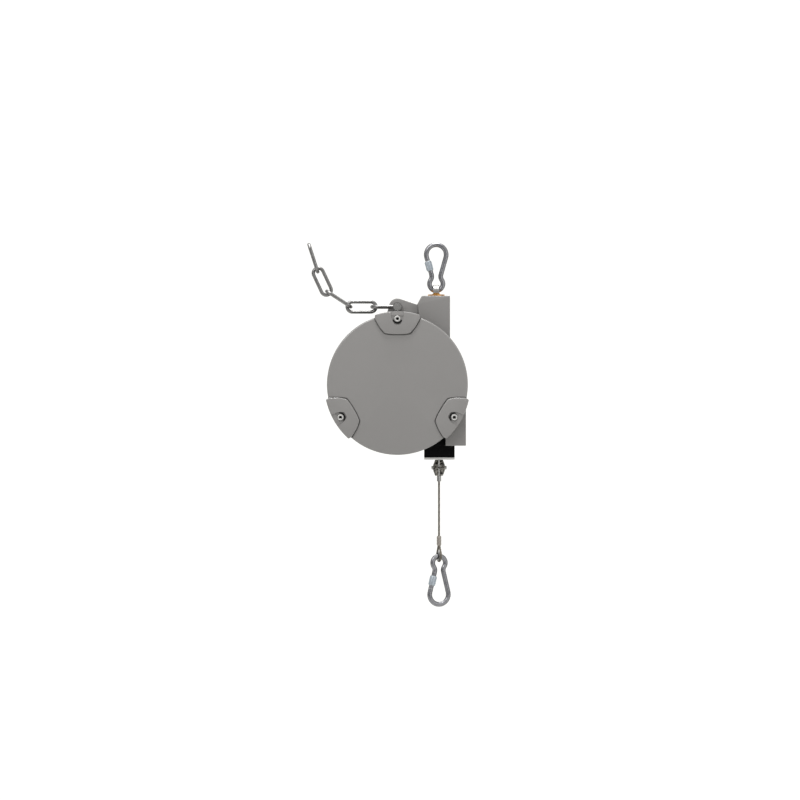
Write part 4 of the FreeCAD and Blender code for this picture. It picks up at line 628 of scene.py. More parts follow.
@cache
def ring_of_screws() -> bpy.types.NodeTree:
    """Tree that sets copies of a screw head on a circle about the Y axis.

    Returns:
        The tree, with the inputs Count, Circle Radius, First Angle and Material.
    """
    tree = new_tree("RingOfScrews", {
        "Count": "NodeSocketInt", "Circle Radius": "NodeSocketFloat",
        "First Angle": "NodeSocketFloat", "Material": "NodeSocketMaterial"})
    given = add_node(tree, "NodeGroupInput")
    circle = add_node(tree, "GeometryNodeMeshCircle", {
        "Vertices": given.outputs["Count"], "Radius": given.outputs["Circle Radius"]})
    angle = add_node(tree, "ShaderNodeCombineXYZ", {"Z": given.outputs["First Angle"]})
    turned = add_node(tree, "GeometryNodeTransform", {"Geometry": circle, "Rotation": angle})
    upright = add_node(tree, "GeometryNodeTransform", {
        "Geometry": turned, "Rotation": (math.pi / 2, 0.0, 0.0)})
    copies = add_node(tree, "GeometryNodeInstanceOnPoints", {
        "Points": upright, "Instance": given.outputs["Geometry"]})
    end_tree(tree, copies.outputs["Instances"], given.outputs["Material"])
    return tree


@cache
def ridged_ring() -> bpy.types.NodeTree:
    """Tree that sets small ridges round a sleeve that stands on the Z axis.

    Returns:
        The tree, with the inputs Count, Ring Radius, Ridge Length, Ridge Width and Material.
    """
    tree = new_tree("RidgedRing", {
        "Count": "NodeSocketInt", "Ring Radius": "NodeSocketFloat",
        "Ridge Length": "NodeSocketFloat", "Ridge Width": "NodeSocketFloat",
        "Material": "NodeSocketMaterial"})
    given = add_node(tree, "NodeGroupInput")
    circle = add_node(tree, "GeometryNodeMeshCircle", {
        "Vertices": given.outputs["Count"], "Radius": given.outputs["Ring Radius"]})
    size = add_node(tree, "ShaderNodeCombineXYZ", {
        "X": given.outputs["Ridge Width"], "Y": given.outputs["Ridge Width"],
        "Z": given.outputs["Ridge Length"]})
    ridge = add_node(tree, "GeometryNodeMeshCube", {"Size": size})
    place = add_node(tree, "GeometryNodeInputPosition")
    facing = add_node(tree, "FunctionNodeAlignRotationToVector", {
        "Vector": place}, axis="X", pivot_axis="Z")
    eighth = add_node(tree, "FunctionNodeRotateRotation", {
        "Rotation": facing, "Rotate By": (0.0, 0.0, math.pi / 4)}, rotation_space="LOCAL")
    copies = add_node(tree, "GeometryNodeInstanceOnPoints", {
        "Points": circle, "Instance": ridge, "Rotation": eighth})
    both = add_node(tree, "GeometryNodeJoinGeometry")
    tree.links.new(given.outputs["Geometry"], both.inputs[0])
    tree.links.new(copies.outputs["Instances"], both.inputs[0])
    end_tree(tree, both.outputs["Geometry"], given.outputs["Material"])
    return tree


def grown(name: str, data: bpy.types.ID, tree: bpy.types.NodeTree, finish: Finish,
          values: dict[str, object], place: Matrix | None = None) -> bpy.types.Object:
    """Run a Geometry Nodes tree on a mesh or curve and keep the plain mesh.

    Args:
        name: Name of the piece.
        data: The mesh or curve that goes in.
        tree: The Geometry Nodes tree.
        finish: The surface.
        values: Input name against value.
        place: Where the result goes, in metres.

    Returns:
        The new object.
    """
    carrier = placed("carrier", data)
    grow = carrier.modifiers.new("grow", "NODES")
    grow.node_group = tree
    values = {**values, "Material": finish.material()}
    for item in tree.interface.items_tree:
        if item.item_type == "SOCKET" and item.in_out == "INPUT" and item.name in values:
            grow[item.identifier] = values[item.name]
    result = evaluated(carrier)
    carrier.modifiers.clear()
    bpy.data.objects.remove(carrier)
    if place:
        result.transform(place)
    return finished(name, result, finish)


def screw_head(radius: float, height: float, socket: float, depth: float) -> Form:
    """Head of a cap screw that looks towards minus Y, with a hexagon socket.

    Args:
        radius: Radius of the head.
        height: Its height; the seat is at Y 0.
        socket: Radius of the socket over its corners.
        depth: Depth of the socket.

    Returns:
        The head.
    """
    steps = 48

    def ring(reach: Callable[[float], float], y: float) -> list[Vector]:
        """Points round the head, each as far out as its angle asks."""
        angles = [TURN * step / steps for step in range(steps)]
        return [Vector((reach(a) * math.cos(a), y, reach(a) * math.sin(a))) for a in angles]

    def hexagon(angle: float) -> float:
        """Distance to the socket's wall at an angle."""
        return socket * math.cos(math.pi / 6) / math.cos(angle % (math.pi / 3) - math.pi / 6)

    form = Form()
    form.loft([
        [Vector((0, 0, 0))], ring(lambda a: radius, 0), ring(lambda a: radius, 0.5 - height),
        ring(lambda a: radius - 0.15, 0.15 - height), ring(lambda a: radius - 0.5, -height),
        ring(lambda a: hexagon(a) + 0.25, -height), ring(hexagon, 0.25 - height),
        ring(hexagon, depth - height), [Vector((0, depth - height, 0))],
    ])
    return form


@dataclass
class FrontCover:
    """Spun sheet cover of the spring chamber with three raised lobes and their screws."""

    radius: float = 98.4
    rim: float = 2.4
    front: float = -60.0
    inner: float = -56.0
    skirt_end: float = -46.0
    lobe_front: float = -63.0
    groove: float = 1.3
    groove_depth: float = 3.2
    lobe_reach: float = 102.0
    lobe_half: float = 31.5
    lobe_angles: tuple[float, ...] = (0.0, 120.0, 240.0)

    def lobe_outline(self, grow: float) -> list[tuple[float, float]]:
        """Outline of the top lobe about the drum's axis.

        Args:
            grow: How far the outline stands out from the lobe's own.

        Returns:
            Points of X and Z.
        """
        side = self.lobe_half + grow
        half = math.degrees(math.asin(side / self.lobe_reach))
        rim = arc((0, 0), self.lobe_reach, 90 + half, 90 - half, 16)
        rim[0] = (*rim[0][:2], 1.6)
        rim[-1] = (*rim[-1][:2], 1.6)
        low = 70.0 - grow
        return rounded([*rim, (side, 91.5, 2.0), (25.2 + grow * 0.8, 80.0, 30.0),
                        (17.5 + grow, low + 1.2, 6.0), (8.0, low, 20.0), (-8.0, low, 20.0),
                        (-17.5 - grow, low + 1.2, 6.0), (-25.2 - grow * 0.8, 80.0, 30.0),
                        (-side, 91.5, 2.0)], 4)

    def disc(self) -> bpy.types.Object:
        """The sheet disc with a narrow groove round each lobe.

        Returns:
            The disc.
        """
        form = Form()
        rim = self.radius
        form.turned(rounded([
            (0.0, self.front, 0), (rim, self.front, self.rim), (rim, self.skirt_end, 0.5),
            (rim - 2.5, self.skirt_end, 0.5), (rim - 2.5, self.inner, 2.0),
            (0.0, self.inner, 0)], 8), 192)
        disc = form.mesh("cover_disc", COVER_COAT)
        groove = Form()
        groove.slab(self.lobe_outline(self.groove), self.front - 3,
                    self.front + self.groove_depth, 0.2)
        for angle in self.lobe_angles:
            cutter = Form()
            cutter.add(groove, about_drum(angle))
            disc = carved(disc, cutter, COVER_COAT)
        return disc

    def lobe(self, angle: float) -> bpy.types.Object:
        """One raised lobe with its screw seat, its notch and its share of the rim.

        Args:
            angle: Turn about the drum's axis in degrees.

        Returns:
            The lobe.
        """
        form = Form()
        form.slab(self.lobe_outline(0.0), self.lobe_front, self.front + 3, 1.3)
        plate = form.mesh("lobe", COVER_COAT)
        notch = Form()
        notch.slab(rounded([(9.4, 104, 0), (-9.4, 104, 0), (-8.2, 91.0, 6.5),
                            (-4.0, 83.6, 4.0), (4.0, 83.6, 4.0), (8.2, 91.0, 6.5)], 5),
                   self.lobe_front - 2, self.lobe_front + 2.2, 0.1)
        plate = carved(plate, notch, COVER_COAT)
        seat = Form()
        seat.turned([(0.0, -66.0), (4.9, -66.0), (4.9, -59.4), (0.0, -59.4)], 40,
                    Vector((0, 0, COVER_SCREW_CIRCLE)))
        plate = carved(plate, seat, COVER_COAT)
        edge = Form()
        reach = self.lobe_reach - 0.1
        half = math.degrees(math.asin((self.lobe_half - 0.3) / reach))
        edge.slab([(x, z) for x, z, _ in arc((0, 0), reach, 90 - half, 90 + half, 20)
                   + arc((0, 0), reach - 6.0, 90 + half, 90 - half, 20)],
                  self.front - 1.5, self.skirt_end, 0.3)
        plate = joined("lobe", [plate, edge.mesh("edge", COVER_COAT)], COVER_COAT)
        turn = Matrix.Rotation(math.radians(angle), 4, "Y")
        plate.data.transform(Matrix.Translation(DRUM_AXIS * MM) @ turn)
        return plate

    def crescents(self) -> bpy.types.Object:
        """Dark sheets, a painted shade of the hollow on the centre side of each screw.

        Returns:
            The three crescents of painted shade.
        """
        hollow = Form()
        outline = [(x, z) for x, z, _ in arc((0, COVER_SCREW_CIRCLE), 6.9, 195, 345, 24)
                   + arc((0, COVER_SCREW_CIRCLE + 0.8), 5.8, 340, 200, 20)]
        hollow.slab(outline, self.lobe_front - 0.06, self.lobe_front + 0.4, 0.02, edge_back=0.02)
        form = Form()
        for angle in self.lobe_angles:
            form.add(hollow, about_drum(angle))
        return form.mesh("cover_shade_crescents", PAINTED_HOLLOW_SHADE)

    def on_lobes(self, name: str, form: Form, finish: Finish, depth: float) -> bpy.types.Object:
        """Set a copy of a form on the screw's place of each lobe.

        Args:
            name: Name of the piece.
            form: The form, drawn about the Y axis.
            finish: Its surface.
            depth: Y of the form's origin from the drum's origin.

        Returns:
            The three copies.
        """
        single = form.mesh("single", finish)
        copies = grown(name, single.data, ring_of_screws(), finish,
                       {"Count": len(self.lobe_angles), "Circle Radius": COVER_SCREW_CIRCLE * MM,
                        "First Angle": math.pi / 2},
                       Matrix.Translation((DRUM_AXIS + Vector((0, depth, 0))) * MM))
        bpy.data.objects.remove(single)
        return copies

    def build(self) -> None:
        """Make the cover and its screws."""
        disc = self.disc()
        lobes = joined("cover_lobes", [self.lobe(angle) for angle in self.lobe_angles], COVER_COAT)
        for piece in (disc, lobes, self.crescents()):
            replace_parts(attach(piece, "housing"), "front_cover")
        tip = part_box("cover_screws")[0].y / MM - DRUM_AXIS.y
        height = 5.0
        # the heads carry a painted sheen in their pale colour
        heads = self.on_lobes("cover_screw_heads", screw_head(4.25, height, 2.5, 2.6),
                              SCREW_STEEL_AND_SHEEN, tip + height)
        # painted shade: a thin dark disc down in each screw's socket stands for the shade there
        socket_shade = Form()
        socket_shade.turned([(0.0, 0.0), (2.05, 0.0), (2.05, 0.1), (0.0, 0.1)], 6, Vector((0, 0, 0)))
        socket_shades = self.on_lobes("cover_screw_socket_shade", socket_shade, PAINTED_HOLLOW_SHADE, tip + 1.4)
        for piece in (heads, socket_shades):
            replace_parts(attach(piece, "housing"), "cover_screws")
        LOG.info("front cover: disc, lobes and screws")


@dataclass
class Casting:
    """Housing casting: spring chamber, rope barrel, hanging column, ear and outlet block."""

    chamber: float = 84.0
    barrel: float = 70.5
    flange: float = 78.0
    foot: float = -278.9
    right: float = 41.3
    worm_left: float = 12.9
    worm_top: float = -172.0
    front_of_block: float = -45.6

    def walls(self) -> Form:
        """The turned walls of the chamber, the web, the barrel and the rear flange.

        Returns:
            The walls.
        """
        form = Form()
        form.turned(rounded([
            (80.0, -56.0, 0.4), (self.chamber, -56.0, 0.4), (self.chamber, -18.0, 3.5),
            (self.barrel, -18.0, 4.0), (self.barrel, 13.0, 3.0), (self.flange, 13.0, 1.5),
            (self.flange, 19.0, 0.4), (BORE_RADIUS, 19.0, 0.4), (BORE_RADIUS, -18.0, 1.0),
            (21.0, -18.0, 0.5), (21.0, -23.0, 0.5), (80.0, -23.0, 1.5)], 5), 192)
        return form

    def blocks(self) -> Form:
        """Column, ear, outlet block and worm block, with the edges of a casting.

        Returns:
            The blocks.
        """
        form = Form()
        form.slab(rounded([
            (-20.3, -124.0, 0), (19.3, -139.0, 0), (19.3, -68.5, 1.5), (-20.3, -68.5, 3.0),
            (-24.3, -75.5, 5.0), (-26.9, -80.6, 1.5)], 5), -19.0, 19.0, 1.5, edge_back=1.5)
        ear_centre = (DRUM_AXIS.x, DRUM_AXIS.z + 109.3)
        form.slab(rounded([
            (-78.5, -121.0, 0), (-26.0, -121.0, 0), (-24.5, -80.2, 2.0),
            (-26.9, -80.6, 2.0), *arc(ear_centre, 11.9, 72, 165, 14),
            (DRUM_AXIS.x - 17.9, DRUM_AXIS.z + 88.0, 0)], 5), -6.0, 6.0, 1.2, edge_back=1.2)
        behind = Vector((0, ROPE_DEPTH, 0))
        form.slab(rounded([
            (-20.0, self.foot, 2.0), (self.right, self.foot, 2.0), (self.right, -214.0, 8.0),
            (-20.0, -226.2, 0)], 5), -18.9, 18.0, 1.5, behind, edge_back=1.5)
        form.slab(rounded([
            (self.worm_left, self.foot, 0.6), (self.right, self.foot, 1.0),
            (self.right, self.worm_top, 4.0), (self.worm_left, self.worm_top, 0)], 6),
            self.front_of_block, -18.2, 0.5, behind, edge_back=0.5)
        return form

    def bosses(self) -> Form:
        """Bosses that take the three cover screws.

        Returns:
            The bosses.
        """
        boss = Form()
        boss.slab(rounded([(-7, 80, 0), (7, 80, 0), (7, 94.6, 3), (-7, 94.6, 3)], 4),
                  -56.0, -32.0, 0.3, edge_back=3.0)
        form = Form()
        for angle in FrontCover.lobe_angles:
            form.add(boss, about_drum(angle))
        return form

    def build(self) -> None:
        """Make the casting."""
        walls = self.walls().mesh("walls", POWDER_COAT)
        solid = self.blocks().mesh("blocks", POWDER_COAT)
        bosses = self.bosses().mesh("bosses", POWDER_COAT)
        cavity = Form()
        cavity.slab([(-13, -106.5), (13, -106.5), (13, -79.5), (-13, -79.5)], -13.0, 30.0, 0.1)
        solid = carved(solid, cavity, POWDER_COAT)
        bore = Form()
        reach = BORE_RADIUS - 0.05
        bore.turned([(0.0, -60.0), (reach, -60.0), (reach, 25.0), (0.0, 25.0)], 192)
        solid = carved(solid, bore, POWDER_COAT)
        casting = joined("housing_casting", [walls, solid, bosses], POWDER_COAT)
        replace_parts(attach(casting, "housing"), "housing")
        LOG.info("housing casting: %d faces", len(casting.data.polygons))


@dataclass
class RearCover:
    """Ribbed rear cover with the bearing boss, the lock boss and six screws."""

    radius: float = 78.0
    ribs: int = 6

    def build(self) -> None:
        """Make the rear cover and its screws."""
        form = Form()
        form.turned(rounded([
            (0.0, 29.4, 0), (13.5, 29.4, 0.1), (13.5, 29.0, 0.1), (16.0, 29.0, 0.5),
            (16.0, 19.0, 0.5), (self.radius, 19.0, 0.3), (self.radius, 23.0, 1.4),
            (22.0, 23.0, 3.0), (19.0, 27.0, 2.0), (19.0, 32.5, 1.5), (0.0, 32.5, 0)], 5), 160)
        rib = Form()
        rib.slab(rounded([(-1.5, 17.5, 0), (1.5, 17.5, 0), (1.5, 66.0, 1.4),
                          (-1.5, 66.0, 1.4)], 4), 22.5, 25.5, 0.1, edge_back=1.2)
        for step in range(self.ribs):
            form.add(rib, about_drum(360 * step / self.ribs))
        lock = Form()
        lock.turned(rounded([(3.56, 22.0, 0), (8.0, 22.0, 0), (8.0, 35.0, 1.2),
                             (3.56, 35.0, 0.4)], 5), 64, DRUM_AXIS + Vector((38.0, 0, 0)))
        cover = joined("rear_cover_casting", [form.mesh("rear", POWDER_COAT),
                                              lock.mesh("lock", POWDER_COAT)], POWDER_COAT)
        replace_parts(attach(cover, "housing"), "rear_cover")
        head = screw_head(3.6, 2.6, 2.0, 1.5)
        half_turn = Matrix.Rotation(math.pi, 4, "Z")
        seat = head.mesh("head", TURNED_STEEL, place=half_turn)
        heads = grown("rear_screw_heads", seat.data, ring_of_screws(), TURNED_STEEL,
                      {"Count": 6, "Circle Radius": REAR_SCREW_CIRCLE * MM,
                       "First Angle": math.radians(30)},
                      Matrix.Translation((DRUM_AXIS + Vector((0, 23.02, 0))) * MM))
        bpy.data.objects.remove(seat)
        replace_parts(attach(heads, "housing"), "rear_cover_screws")
        LOG.info("rear cover: casting and screws")


@dataclass
class Outlet:
    """Front apron of the black rope guide, and the white plate below it with its screws."""

    left: float = -16.8
    right: float = 25.7
    apron_right: float = 12.6
    apron_top: float = -262.0
    apron_foot: float = -279.2
    plate_top: float = -295.6
    plate_foot: float = -298.7

    def apron(self) -> bpy.types.Object:
        """Front of the rope guide, which laps over the foot of the outlet block.

        Returns:
            The apron.
        """
        form = Form()
        form.slab(rounded([
            (self.left, self.apron_foot, 0.3), (self.apron_right, self.apron_foot, 0.3),
            (self.apron_right, self.apron_top, 1.0), (self.left, self.apron_top, 1.0)], 4),
            -13.2, -10.7, 0.4, edge_back=0.1)
        return form.mesh("guide_apron", GUIDE_PLASTIC)

    def plate(self) -> bpy.types.Object:
        """White plate with the hole that the rope runs through.

        Returns:
            The plate.
        """
        form = Form()
        form.slab(rounded([
            (self.left, self.plate_foot, 0.4), (self.right, self.plate_foot, 0.4),
            (self.right, self.plate_top, 0.2), (self.left, self.plate_top, 0.2)], 3),
            -9.9, 25.9, 0.4, edge_back=0.4)
        plate = form.mesh("guide_plate", WEAR_PLASTIC)
        bore = Form()
        bore.loft([circle((ROPE_SIDE, ROPE_DEPTH), 2.6, z, 40)
                   for z in (self.plate_foot - 2, self.plate_top + 2)])
        return carved(plate, bore, WEAR_PLASTIC)

    def screws(self) -> bpy.types.Object:
        """Four sunk screw heads in the foot of the plate.

        Returns:
            The heads.
        """
        form = Form()
        for side in (-12.2, 12.2):
            for back in (-13.2, 13.2):
                form.loft([circle((ROPE_SIDE + side, ROPE_DEPTH + back), radius,
                                  self.plate_foot + rise, 36)
                           for radius, rise in ((3.6, 1.4), (3.6, 0.1), (3.4, -0.1), (1.6, -0.1),
                                                (1.4, 1.2))])
        return form.mesh("guide_screw_heads", TURNED_STEEL)

    def build(self) -> None:
        """Make the apron, the plate and the screws."""
        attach(self.apron(), "housing")
        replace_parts(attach(self.plate(), "housing"), "wear_plate")
        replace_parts(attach(self.screws(), "housing"), "guide_screws")
        LOG.info("outlet: apron, plate and screws")


@dataclass
class GateSleeve:
    """Knurled screw sleeve that locks a snap hook's gate.

    Attributes:
        prefix: Which hook: upper or lower.
        pin: Middle of the gate's pin.
        along: Unit vector from the pin along the gate.
        bore: Radius of the bore.
        outer: Radius of the sleeve.
        length: Its length.
        start: How far from the pin it starts.
        ridges: Number of its ridges.
    """

    prefix: str
    pin: Vector
    along: Vector
    bore: float = 3.58
    outer: float = 4.78
    length: float = 13.5
    start: float = 5.0
    ridges: int = 26

    def build(self) -> None:
        """Make the sleeve with its ridges on its gate."""
        form = Form()
        profile = rounded([(self.bore, 0.0, 0.1), (self.outer, 0.0, 0.5),
                           (self.outer, self.length, 0.5), (self.bore, self.length, 0.1)], 3)
        form.loft([circle((0, 0), r, z - self.length / 2, 36) for r, z in profile], closed=True)
        blank = form.mesh("blank", PALE_ZINC)
        middle = self.pin + self.along * (self.start + self.length / 2)
        turn = self.along.to_track_quat("Z", "Y").to_matrix().to_4x4()
        sleeve = grown(f"{self.prefix}_knurled_sleeve", blank.data, ridged_ring(), PALE_ZINC,
                       {"Count": self.ridges, "Ring Radius": (self.outer - 0.12) * MM,
                        "Ridge Length": (self.length - 2.2) * MM, "Ridge Width": 0.5 * MM},
                       Matrix.Translation(middle * MM) @ turn)
        bpy.data.objects.remove(blank)
        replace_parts(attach(sleeve, f"{self.prefix}_gate_sleeve"), f"{self.prefix}_gate_sleeve")
        LOG.info("%s sleeve: %d ridges", self.prefix, self.ridges)


@dataclass
class WireRope:
    """Six-strand wire rope from the drum through the guide down to the loop of the hook."""

    radius: float = 1.5
    strand: float = 0.56
    strands: int = 6
    lay_length: float = 15.0
    exit: Vector = field(default_factory=lambda: on_rope(-329.5))
    ferrule_top: float = -406.4
    ferrule_low: float = -420.0
    ferrule_radius: float = 3.3
    loop_centre: float = -433.9
    loop_radius: float = 8.0
    loop_turn: float = 20.0

    def beside(self, out: float, height: float) -> Vector:
        """A point in the plane of the loop, which is turned about the rope's middle line."""
        turn = math.radians(self.loop_turn)
        return on_rope(height) + Vector((-out * math.sin(turn), out * math.cos(turn), 0))

    def route(self, points: list[Vector]) -> list[Vector]:
        """Read points from the route's smooth spline.

        Args:
            points: Control points in millimetres.

        Returns:
            Points along the spline.
        """
        curve = bpy.data.curves.new("route", "CURVE")
        curve.dimensions = "3D"
        curve.resolution_u = 12
        spline = curve.splines.new("NURBS")
        spline.points.add(len(points) - 1)
        for knot, point in zip(spline.points, points):
            knot.co = (*(point * MM), 1.0)
        spline.order_u = 3
        spline.use_endpoint_u = True
        carrier = placed("route", curve)
        found = [v.co / MM for v in evaluated(carrier).vertices]
        bpy.data.objects.remove(carrier)
        return found

    def laid(self, name: str, line: list[Vector]) -> bpy.types.Object:
        """Lay the strands round a line.

        Args:
            name: Name of the piece.
            line: Points along the rope's middle.

        Returns:
            The rope.
        """
        curve = bpy.data.curves.new(name, "CURVE")
        curve.dimensions = "3D"
        steps = []
        for start, end in zip(line, line[1:]):
            count = max(1, round((end - start).length / (self.lay_length / 12)))
            steps.extend(start.lerp(end, i / count) for i in range(count))
        steps.append(line[-1])
        headings = [(steps[min(i + 1, len(steps) - 1)] - steps[max(i - 1, 0)]).normalized()
                    for i in range(len(steps))]
        side = headings[0].orthogonal().normalized()
        frames, run = [], 0.0
        for i, heading in enumerate(headings):
            side = (side - heading * side.dot(heading)).normalized()
            frames.append((side.copy(), heading.cross(side), run))
            if i + 1 < len(steps):
                run += (steps[i + 1] - steps[i]).length
        for strand in range(self.strands):
            spline = curve.splines.new("POLY")
            spline.points.add(len(steps) - 1)
            for knot, point, (across, up, gone) in zip(spline.points, steps, frames):
                angle = TURN * (strand / self.strands + gone / self.lay_length)
                offset = (across * math.cos(angle) + up * math.sin(angle))
                knot.co = (*((point + offset * (self.radius - self.strand)) * MM), 1.0)
        return grown(name, curve, swept_wire(), ROPE_WIRE_AND_SHADE,
                     {"Wire Radius": self.strand * MM, "Sides": 8})

    def ferrule(self) -> bpy.types.Object:
        """Pressed ferrule with the two steps that the crimping tool leaves.

        Returns:
            The ferrule.
        """
        steps = ((0.0, 0.9), (0.03, 0.45), (0.08, 0.1), (0.3, 0.0), (0.32, 0.32), (0.4, 0.32),
                 (0.42, 0.0), (0.6, 0.0), (0.62, 0.32), (0.7, 0.32), (0.72, 0.0), (0.92, 0.1),
                 (0.97, 0.45), (1.0, 0.9))
        form = Form()
        rings = []
        for share, shrink in steps:
            z = self.ferrule_low + (self.ferrule_top - self.ferrule_low) * share
            ring = []
            for step in range(40):
                angle = TURN * step / 40
                flat = 0.5 if math.sin(angle) > 0 else -0.5
                side = (self.ferrule_radius - shrink) * math.cos(angle)
                back = (self.ferrule_radius - shrink) * math.sin(angle)
                if abs(math.sin(angle)) > 1e-6:
                    back += flat
                ring.append(on_rope(z) + Vector((side, back, 0)))
            rings.append(ring)
        form.loft(rings)
        return form.mesh("pressed_ferrule", CRIMPED)

    def thimble(self) -> bpy.types.Object:
        """Open thimble of channel section inside the loop.

        Returns:
            The thimble.
        """
        form = Form()
        turn = math.radians(self.loop_turn)
        axis = Vector((math.cos(turn), math.sin(turn), 0))
        section = rounded([(5.6, -2.1, 0.1), (7.3, -2.1, 0.1), (7.3, -1.7, 0.1), (6.1, -1.3, 0.3),
                           (6.1, 1.3, 0.3), (7.3, 1.7, 0.1), (7.3, 2.1, 0.1), (5.6, 2.1, 0.1)], 3)
        first, sweep, steps = 125, 290, 60
        rings = []
        for step in range(steps + 1):
            angle = math.radians(first + sweep * step / steps)
            rings.append([self.beside(r * math.cos(angle), self.loop_centre + r * math.sin(angle))
                          + axis * w for r, w in section])
        form.loft(rings)
        return form.mesh("thimble_channel", TURNED_STEEL)

    def build(self) -> None:
        """Make the rope, its loop, its thimble and its ferrule."""
        low = on_rope(self.ferrule_top)
        line = self.route([self.exit, self.exit.lerp(low, 0.5), low])
        hanging = self.laid("hanging_rope_strands", line)
        reach, centre = self.loop_radius, self.loop_centre
        half = [(1.5, self.ferrule_low + 1.5), (4.4, centre + 8.3), (7.6, centre + 3.2),
                (reach + 0.3, centre - 2.6), (4.6, centre - 7.0)]
        route = [self.beside(y, z) for y, z in half]
        route.append(self.beside(0, centre - reach - 0.35))
        route.extend(self.beside(-y, z) for y, z in reversed(half))
        loop = self.laid("rope_loop_strands", self.route(route))
        ferrule, thimble = self.ferrule(), self.thimble()
        for piece, node in ((hanging, "hanging_rope"), (loop, "rope_loop"),
                            (ferrule, "rope_ferrule"), (thimble, "thimble")):
            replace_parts(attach(piece, "rope_end"), node)
        low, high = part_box("drawn_rope")
        foot = on_rope(low.z / MM)
        drawn = self.laid("drawn_rope_strands", [on_rope(high.z / MM), foot])
        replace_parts(drawn, "drawn_rope")
        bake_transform(drawn)
        LOG.info("wire rope: hanging run, loop, ferrule and drawn run")


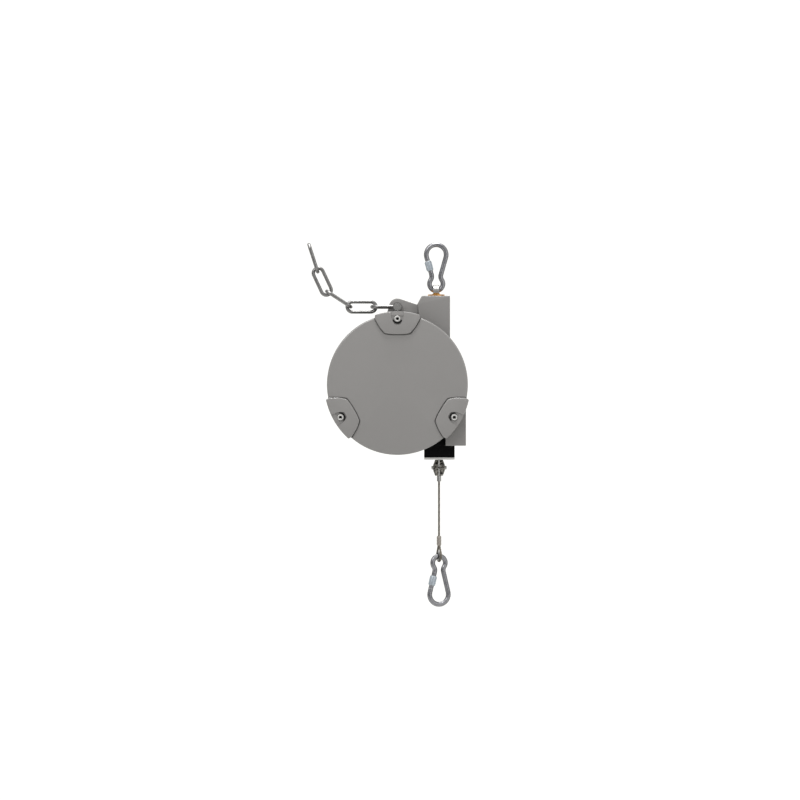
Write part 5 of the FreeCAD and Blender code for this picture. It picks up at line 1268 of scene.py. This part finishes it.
@dataclass
class Studio:
    """Camera at the photograph's angle, soft lamps, and a pale floor and backdrop."""

    centre: Vector = field(default_factory=lambda: Vector((-50.96, 0, -214.9)))
    plane: float = -30.0
    distance: float = 6000.0
    width: float = 1120.0
    floor: float = -2750.0
    aim: Vector = field(default_factory=lambda: Vector((-50.0, 0, -200.0)))

    def camera(self) -> None:
        """Make the camera, level and square to the cover."""
        data = bpy.data.cameras.new("camera")
        data.sensor_width = 36.0
        data.lens = 36.0 * self.distance / self.width
        data.clip_end = 100.0
        camera = placed("camera", data)
        camera.location = (self.centre + Vector((0, self.plane - self.distance, 0))) * MM
        camera.rotation_euler = (math.pi / 2, 0, 0)
        bpy.context.scene.camera = camera

    def lamp(self, name: str, place: tuple[float, float, float], size: float,
             power: float) -> None:
        """Hang one square soft lamp that looks at the aim.

        Args:
            name: Name of the lamp.
            place: Where it hangs, in metres.
            size: Its side in metres.
            power: Its power in watts.
        """
        data = bpy.data.lights.new(name, "AREA")
        data.size = size
        data.energy = power
        lamp = placed(name, data)
        lamp.location = place
        way = self.aim * MM - Vector(place)
        lamp.rotation_euler = way.to_track_quat("-Z", "Y").to_euler()

    def backdrop(self) -> None:
        """A floor that sweeps up into the wall behind."""
        front, back, side, top = -9.0, 3.2, 12.0, 9.0
        bend = 1.6
        line = [(front, 0.0), (back, 0.0)]
        line += [(back + bend * math.sin(a), bend - bend * math.cos(a))
                 for a in (math.pi / 2 * step / 16 for step in range(1, 17))]
        line += [(back + bend, top)]
        data = bpy.data.meshes.new("floor")
        points = [(x, y, self.floor * MM + z) for x in (-side, side) for y, z in line]
        count = len(line)
        data.from_pydata(points, [], [(i, i + 1, count + i + 1, count + i)
                                      for i in range(count - 1)])
        data.shade_smooth()
        material = bpy.data.materials.new("pale studio floor")
        material.use_nodes = True
        tree = material.node_tree
        tree.nodes.clear()
        path = add_node(tree, "ShaderNodeLightPath")
        mirrored = add_node(tree, "ShaderNodeMath", {
            0: path.outputs["Is Glossy Ray"], 1: path.outputs["Is Transmission Ray"]},
            operation="MAXIMUM")
        seen = add_node(tree, "ShaderNodeMath", {
            0: path.outputs["Is Camera Ray"], 1: mirrored}, operation="MAXIMUM")
        matte = add_node(tree, "ShaderNodeBsdfDiffuse", {"Color": linear("#f1f1ef")})
        glow = add_node(tree, "ShaderNodeEmission", {"Color": linear("#f3f3f1"), "Strength": 0.55})
        paler = add_node(tree, "ShaderNodeAddShader", {0: matte, 1: glow})
        both = add_node(tree, "ShaderNodeMixShader", {0: seen, 1: matte, 2: paler})
        add_node(tree, "ShaderNodeOutputMaterial", {"Surface": both})
        data.materials.append(material)
        placed("floor", data)

    def world(self) -> None:
        """Even light from all round, paler above than below."""
        world = bpy.data.worlds.new("studio")
        bpy.context.scene.world = world
        world.use_nodes = True
        tree = world.node_tree
        tree.nodes.clear()
        way = add_node(tree, "ShaderNodeTexCoord")
        split = add_node(tree, "ShaderNodeSeparateXYZ", {"Vector": way.outputs["Generated"]})
        even = add_node(tree, "ShaderNodeMapRange", {
            "Value": split.outputs["Z"], "From Min": -1.0, "From Max": 1.0,
            "To Min": 0.30, "To Max": 0.66})
        mirrored = add_node(tree, "ShaderNodeMapRange", {
            "Value": split.outputs["Z"], "From Min": -0.6, "From Max": 0.7,
            "To Min": 0.18, "To Max": 1.0})
        overhead = add_node(tree, "ShaderNodeMapRange", {
            "Value": split.outputs["Z"], "From Min": 0.84, "From Max": 0.93,
            "To Min": 0.0, "To Max": 5.0})
        glints = add_node(tree, "ShaderNodeMath", {0: mirrored, 1: overhead}, operation="ADD")
        path = add_node(tree, "ShaderNodeLightPath")
        strength = add_node(tree, "ShaderNodeMix", {
            "Factor": path.outputs["Is Glossy Ray"], "A": even, "B": glints}, data_type="FLOAT")
        seen = add_node(tree, "ShaderNodeMath", {
            0: path.outputs["Is Camera Ray"], 1: path.outputs["Is Transmission Ray"]},
            operation="MAXIMUM")
        shown = add_node(tree, "ShaderNodeMix", {
            "Factor": seen, "A": strength, "B": 1.0}, data_type="FLOAT")
        sky = add_node(tree, "ShaderNodeBackground", {"Color": WHITE, "Strength": shown})
        add_node(tree, "ShaderNodeOutputWorld", {"Surface": sky})

    def build(self) -> None:
        """Set up the camera, the lamps, the floor and the world."""
        self.camera()
        self.backdrop()
        self.world()
        self.lamp("key", (-1.6, -2.6, 1.9), 1.6, 38.0)
        self.lamp("top", (-0.15, -0.7, 2.2), 0.55, 24.0)
        self.lamp("fill", (2.2, -2.4, 0.2), 2.0, 16.0)
        bpy.context.scene.view_settings.view_transform = "Standard"
        LOG.info("studio: camera, lamps and backdrop")


def dress_nodes(nodes: dict[str, bpy.types.Object]) -> None:
    """Give every CAD node its finish.

    Args:
        nodes: The CAD nodes by name.
    """
    for finish, names in DRESSING.items():
        for name in names:
            for slot in nodes[name].material_slots:
                slot.material = finish.material()
    LOG.info("%d nodes dressed", sum(len(names) for names in DRESSING.values()))


def main() -> None:
    """Build the studio, dress the CAD nodes and make the finer pieces."""
    logging.basicConfig(level=logging.INFO, format="%(message)s")
    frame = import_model()
    nodes = frame["nodes"]
    Studio().build()
    WireRope().build()
    dress_nodes(nodes)
    Casting().build()
    FrontCover().build()
    RearCover().build()
    Outlet().build()
    joints = {joint["name"]: joint for joint in frame["joints"]}
    for prefix in ("upper", "lower"):
        pin = Vector(joints[f"{prefix}_gate_swing"]["pos_m"]) / MM
        along = Vector(joints[f"{prefix}_sleeve_travel"]["axis"])
        GateSleeve(prefix, pin, along).build()


if __name__ == "__main__":
    main()
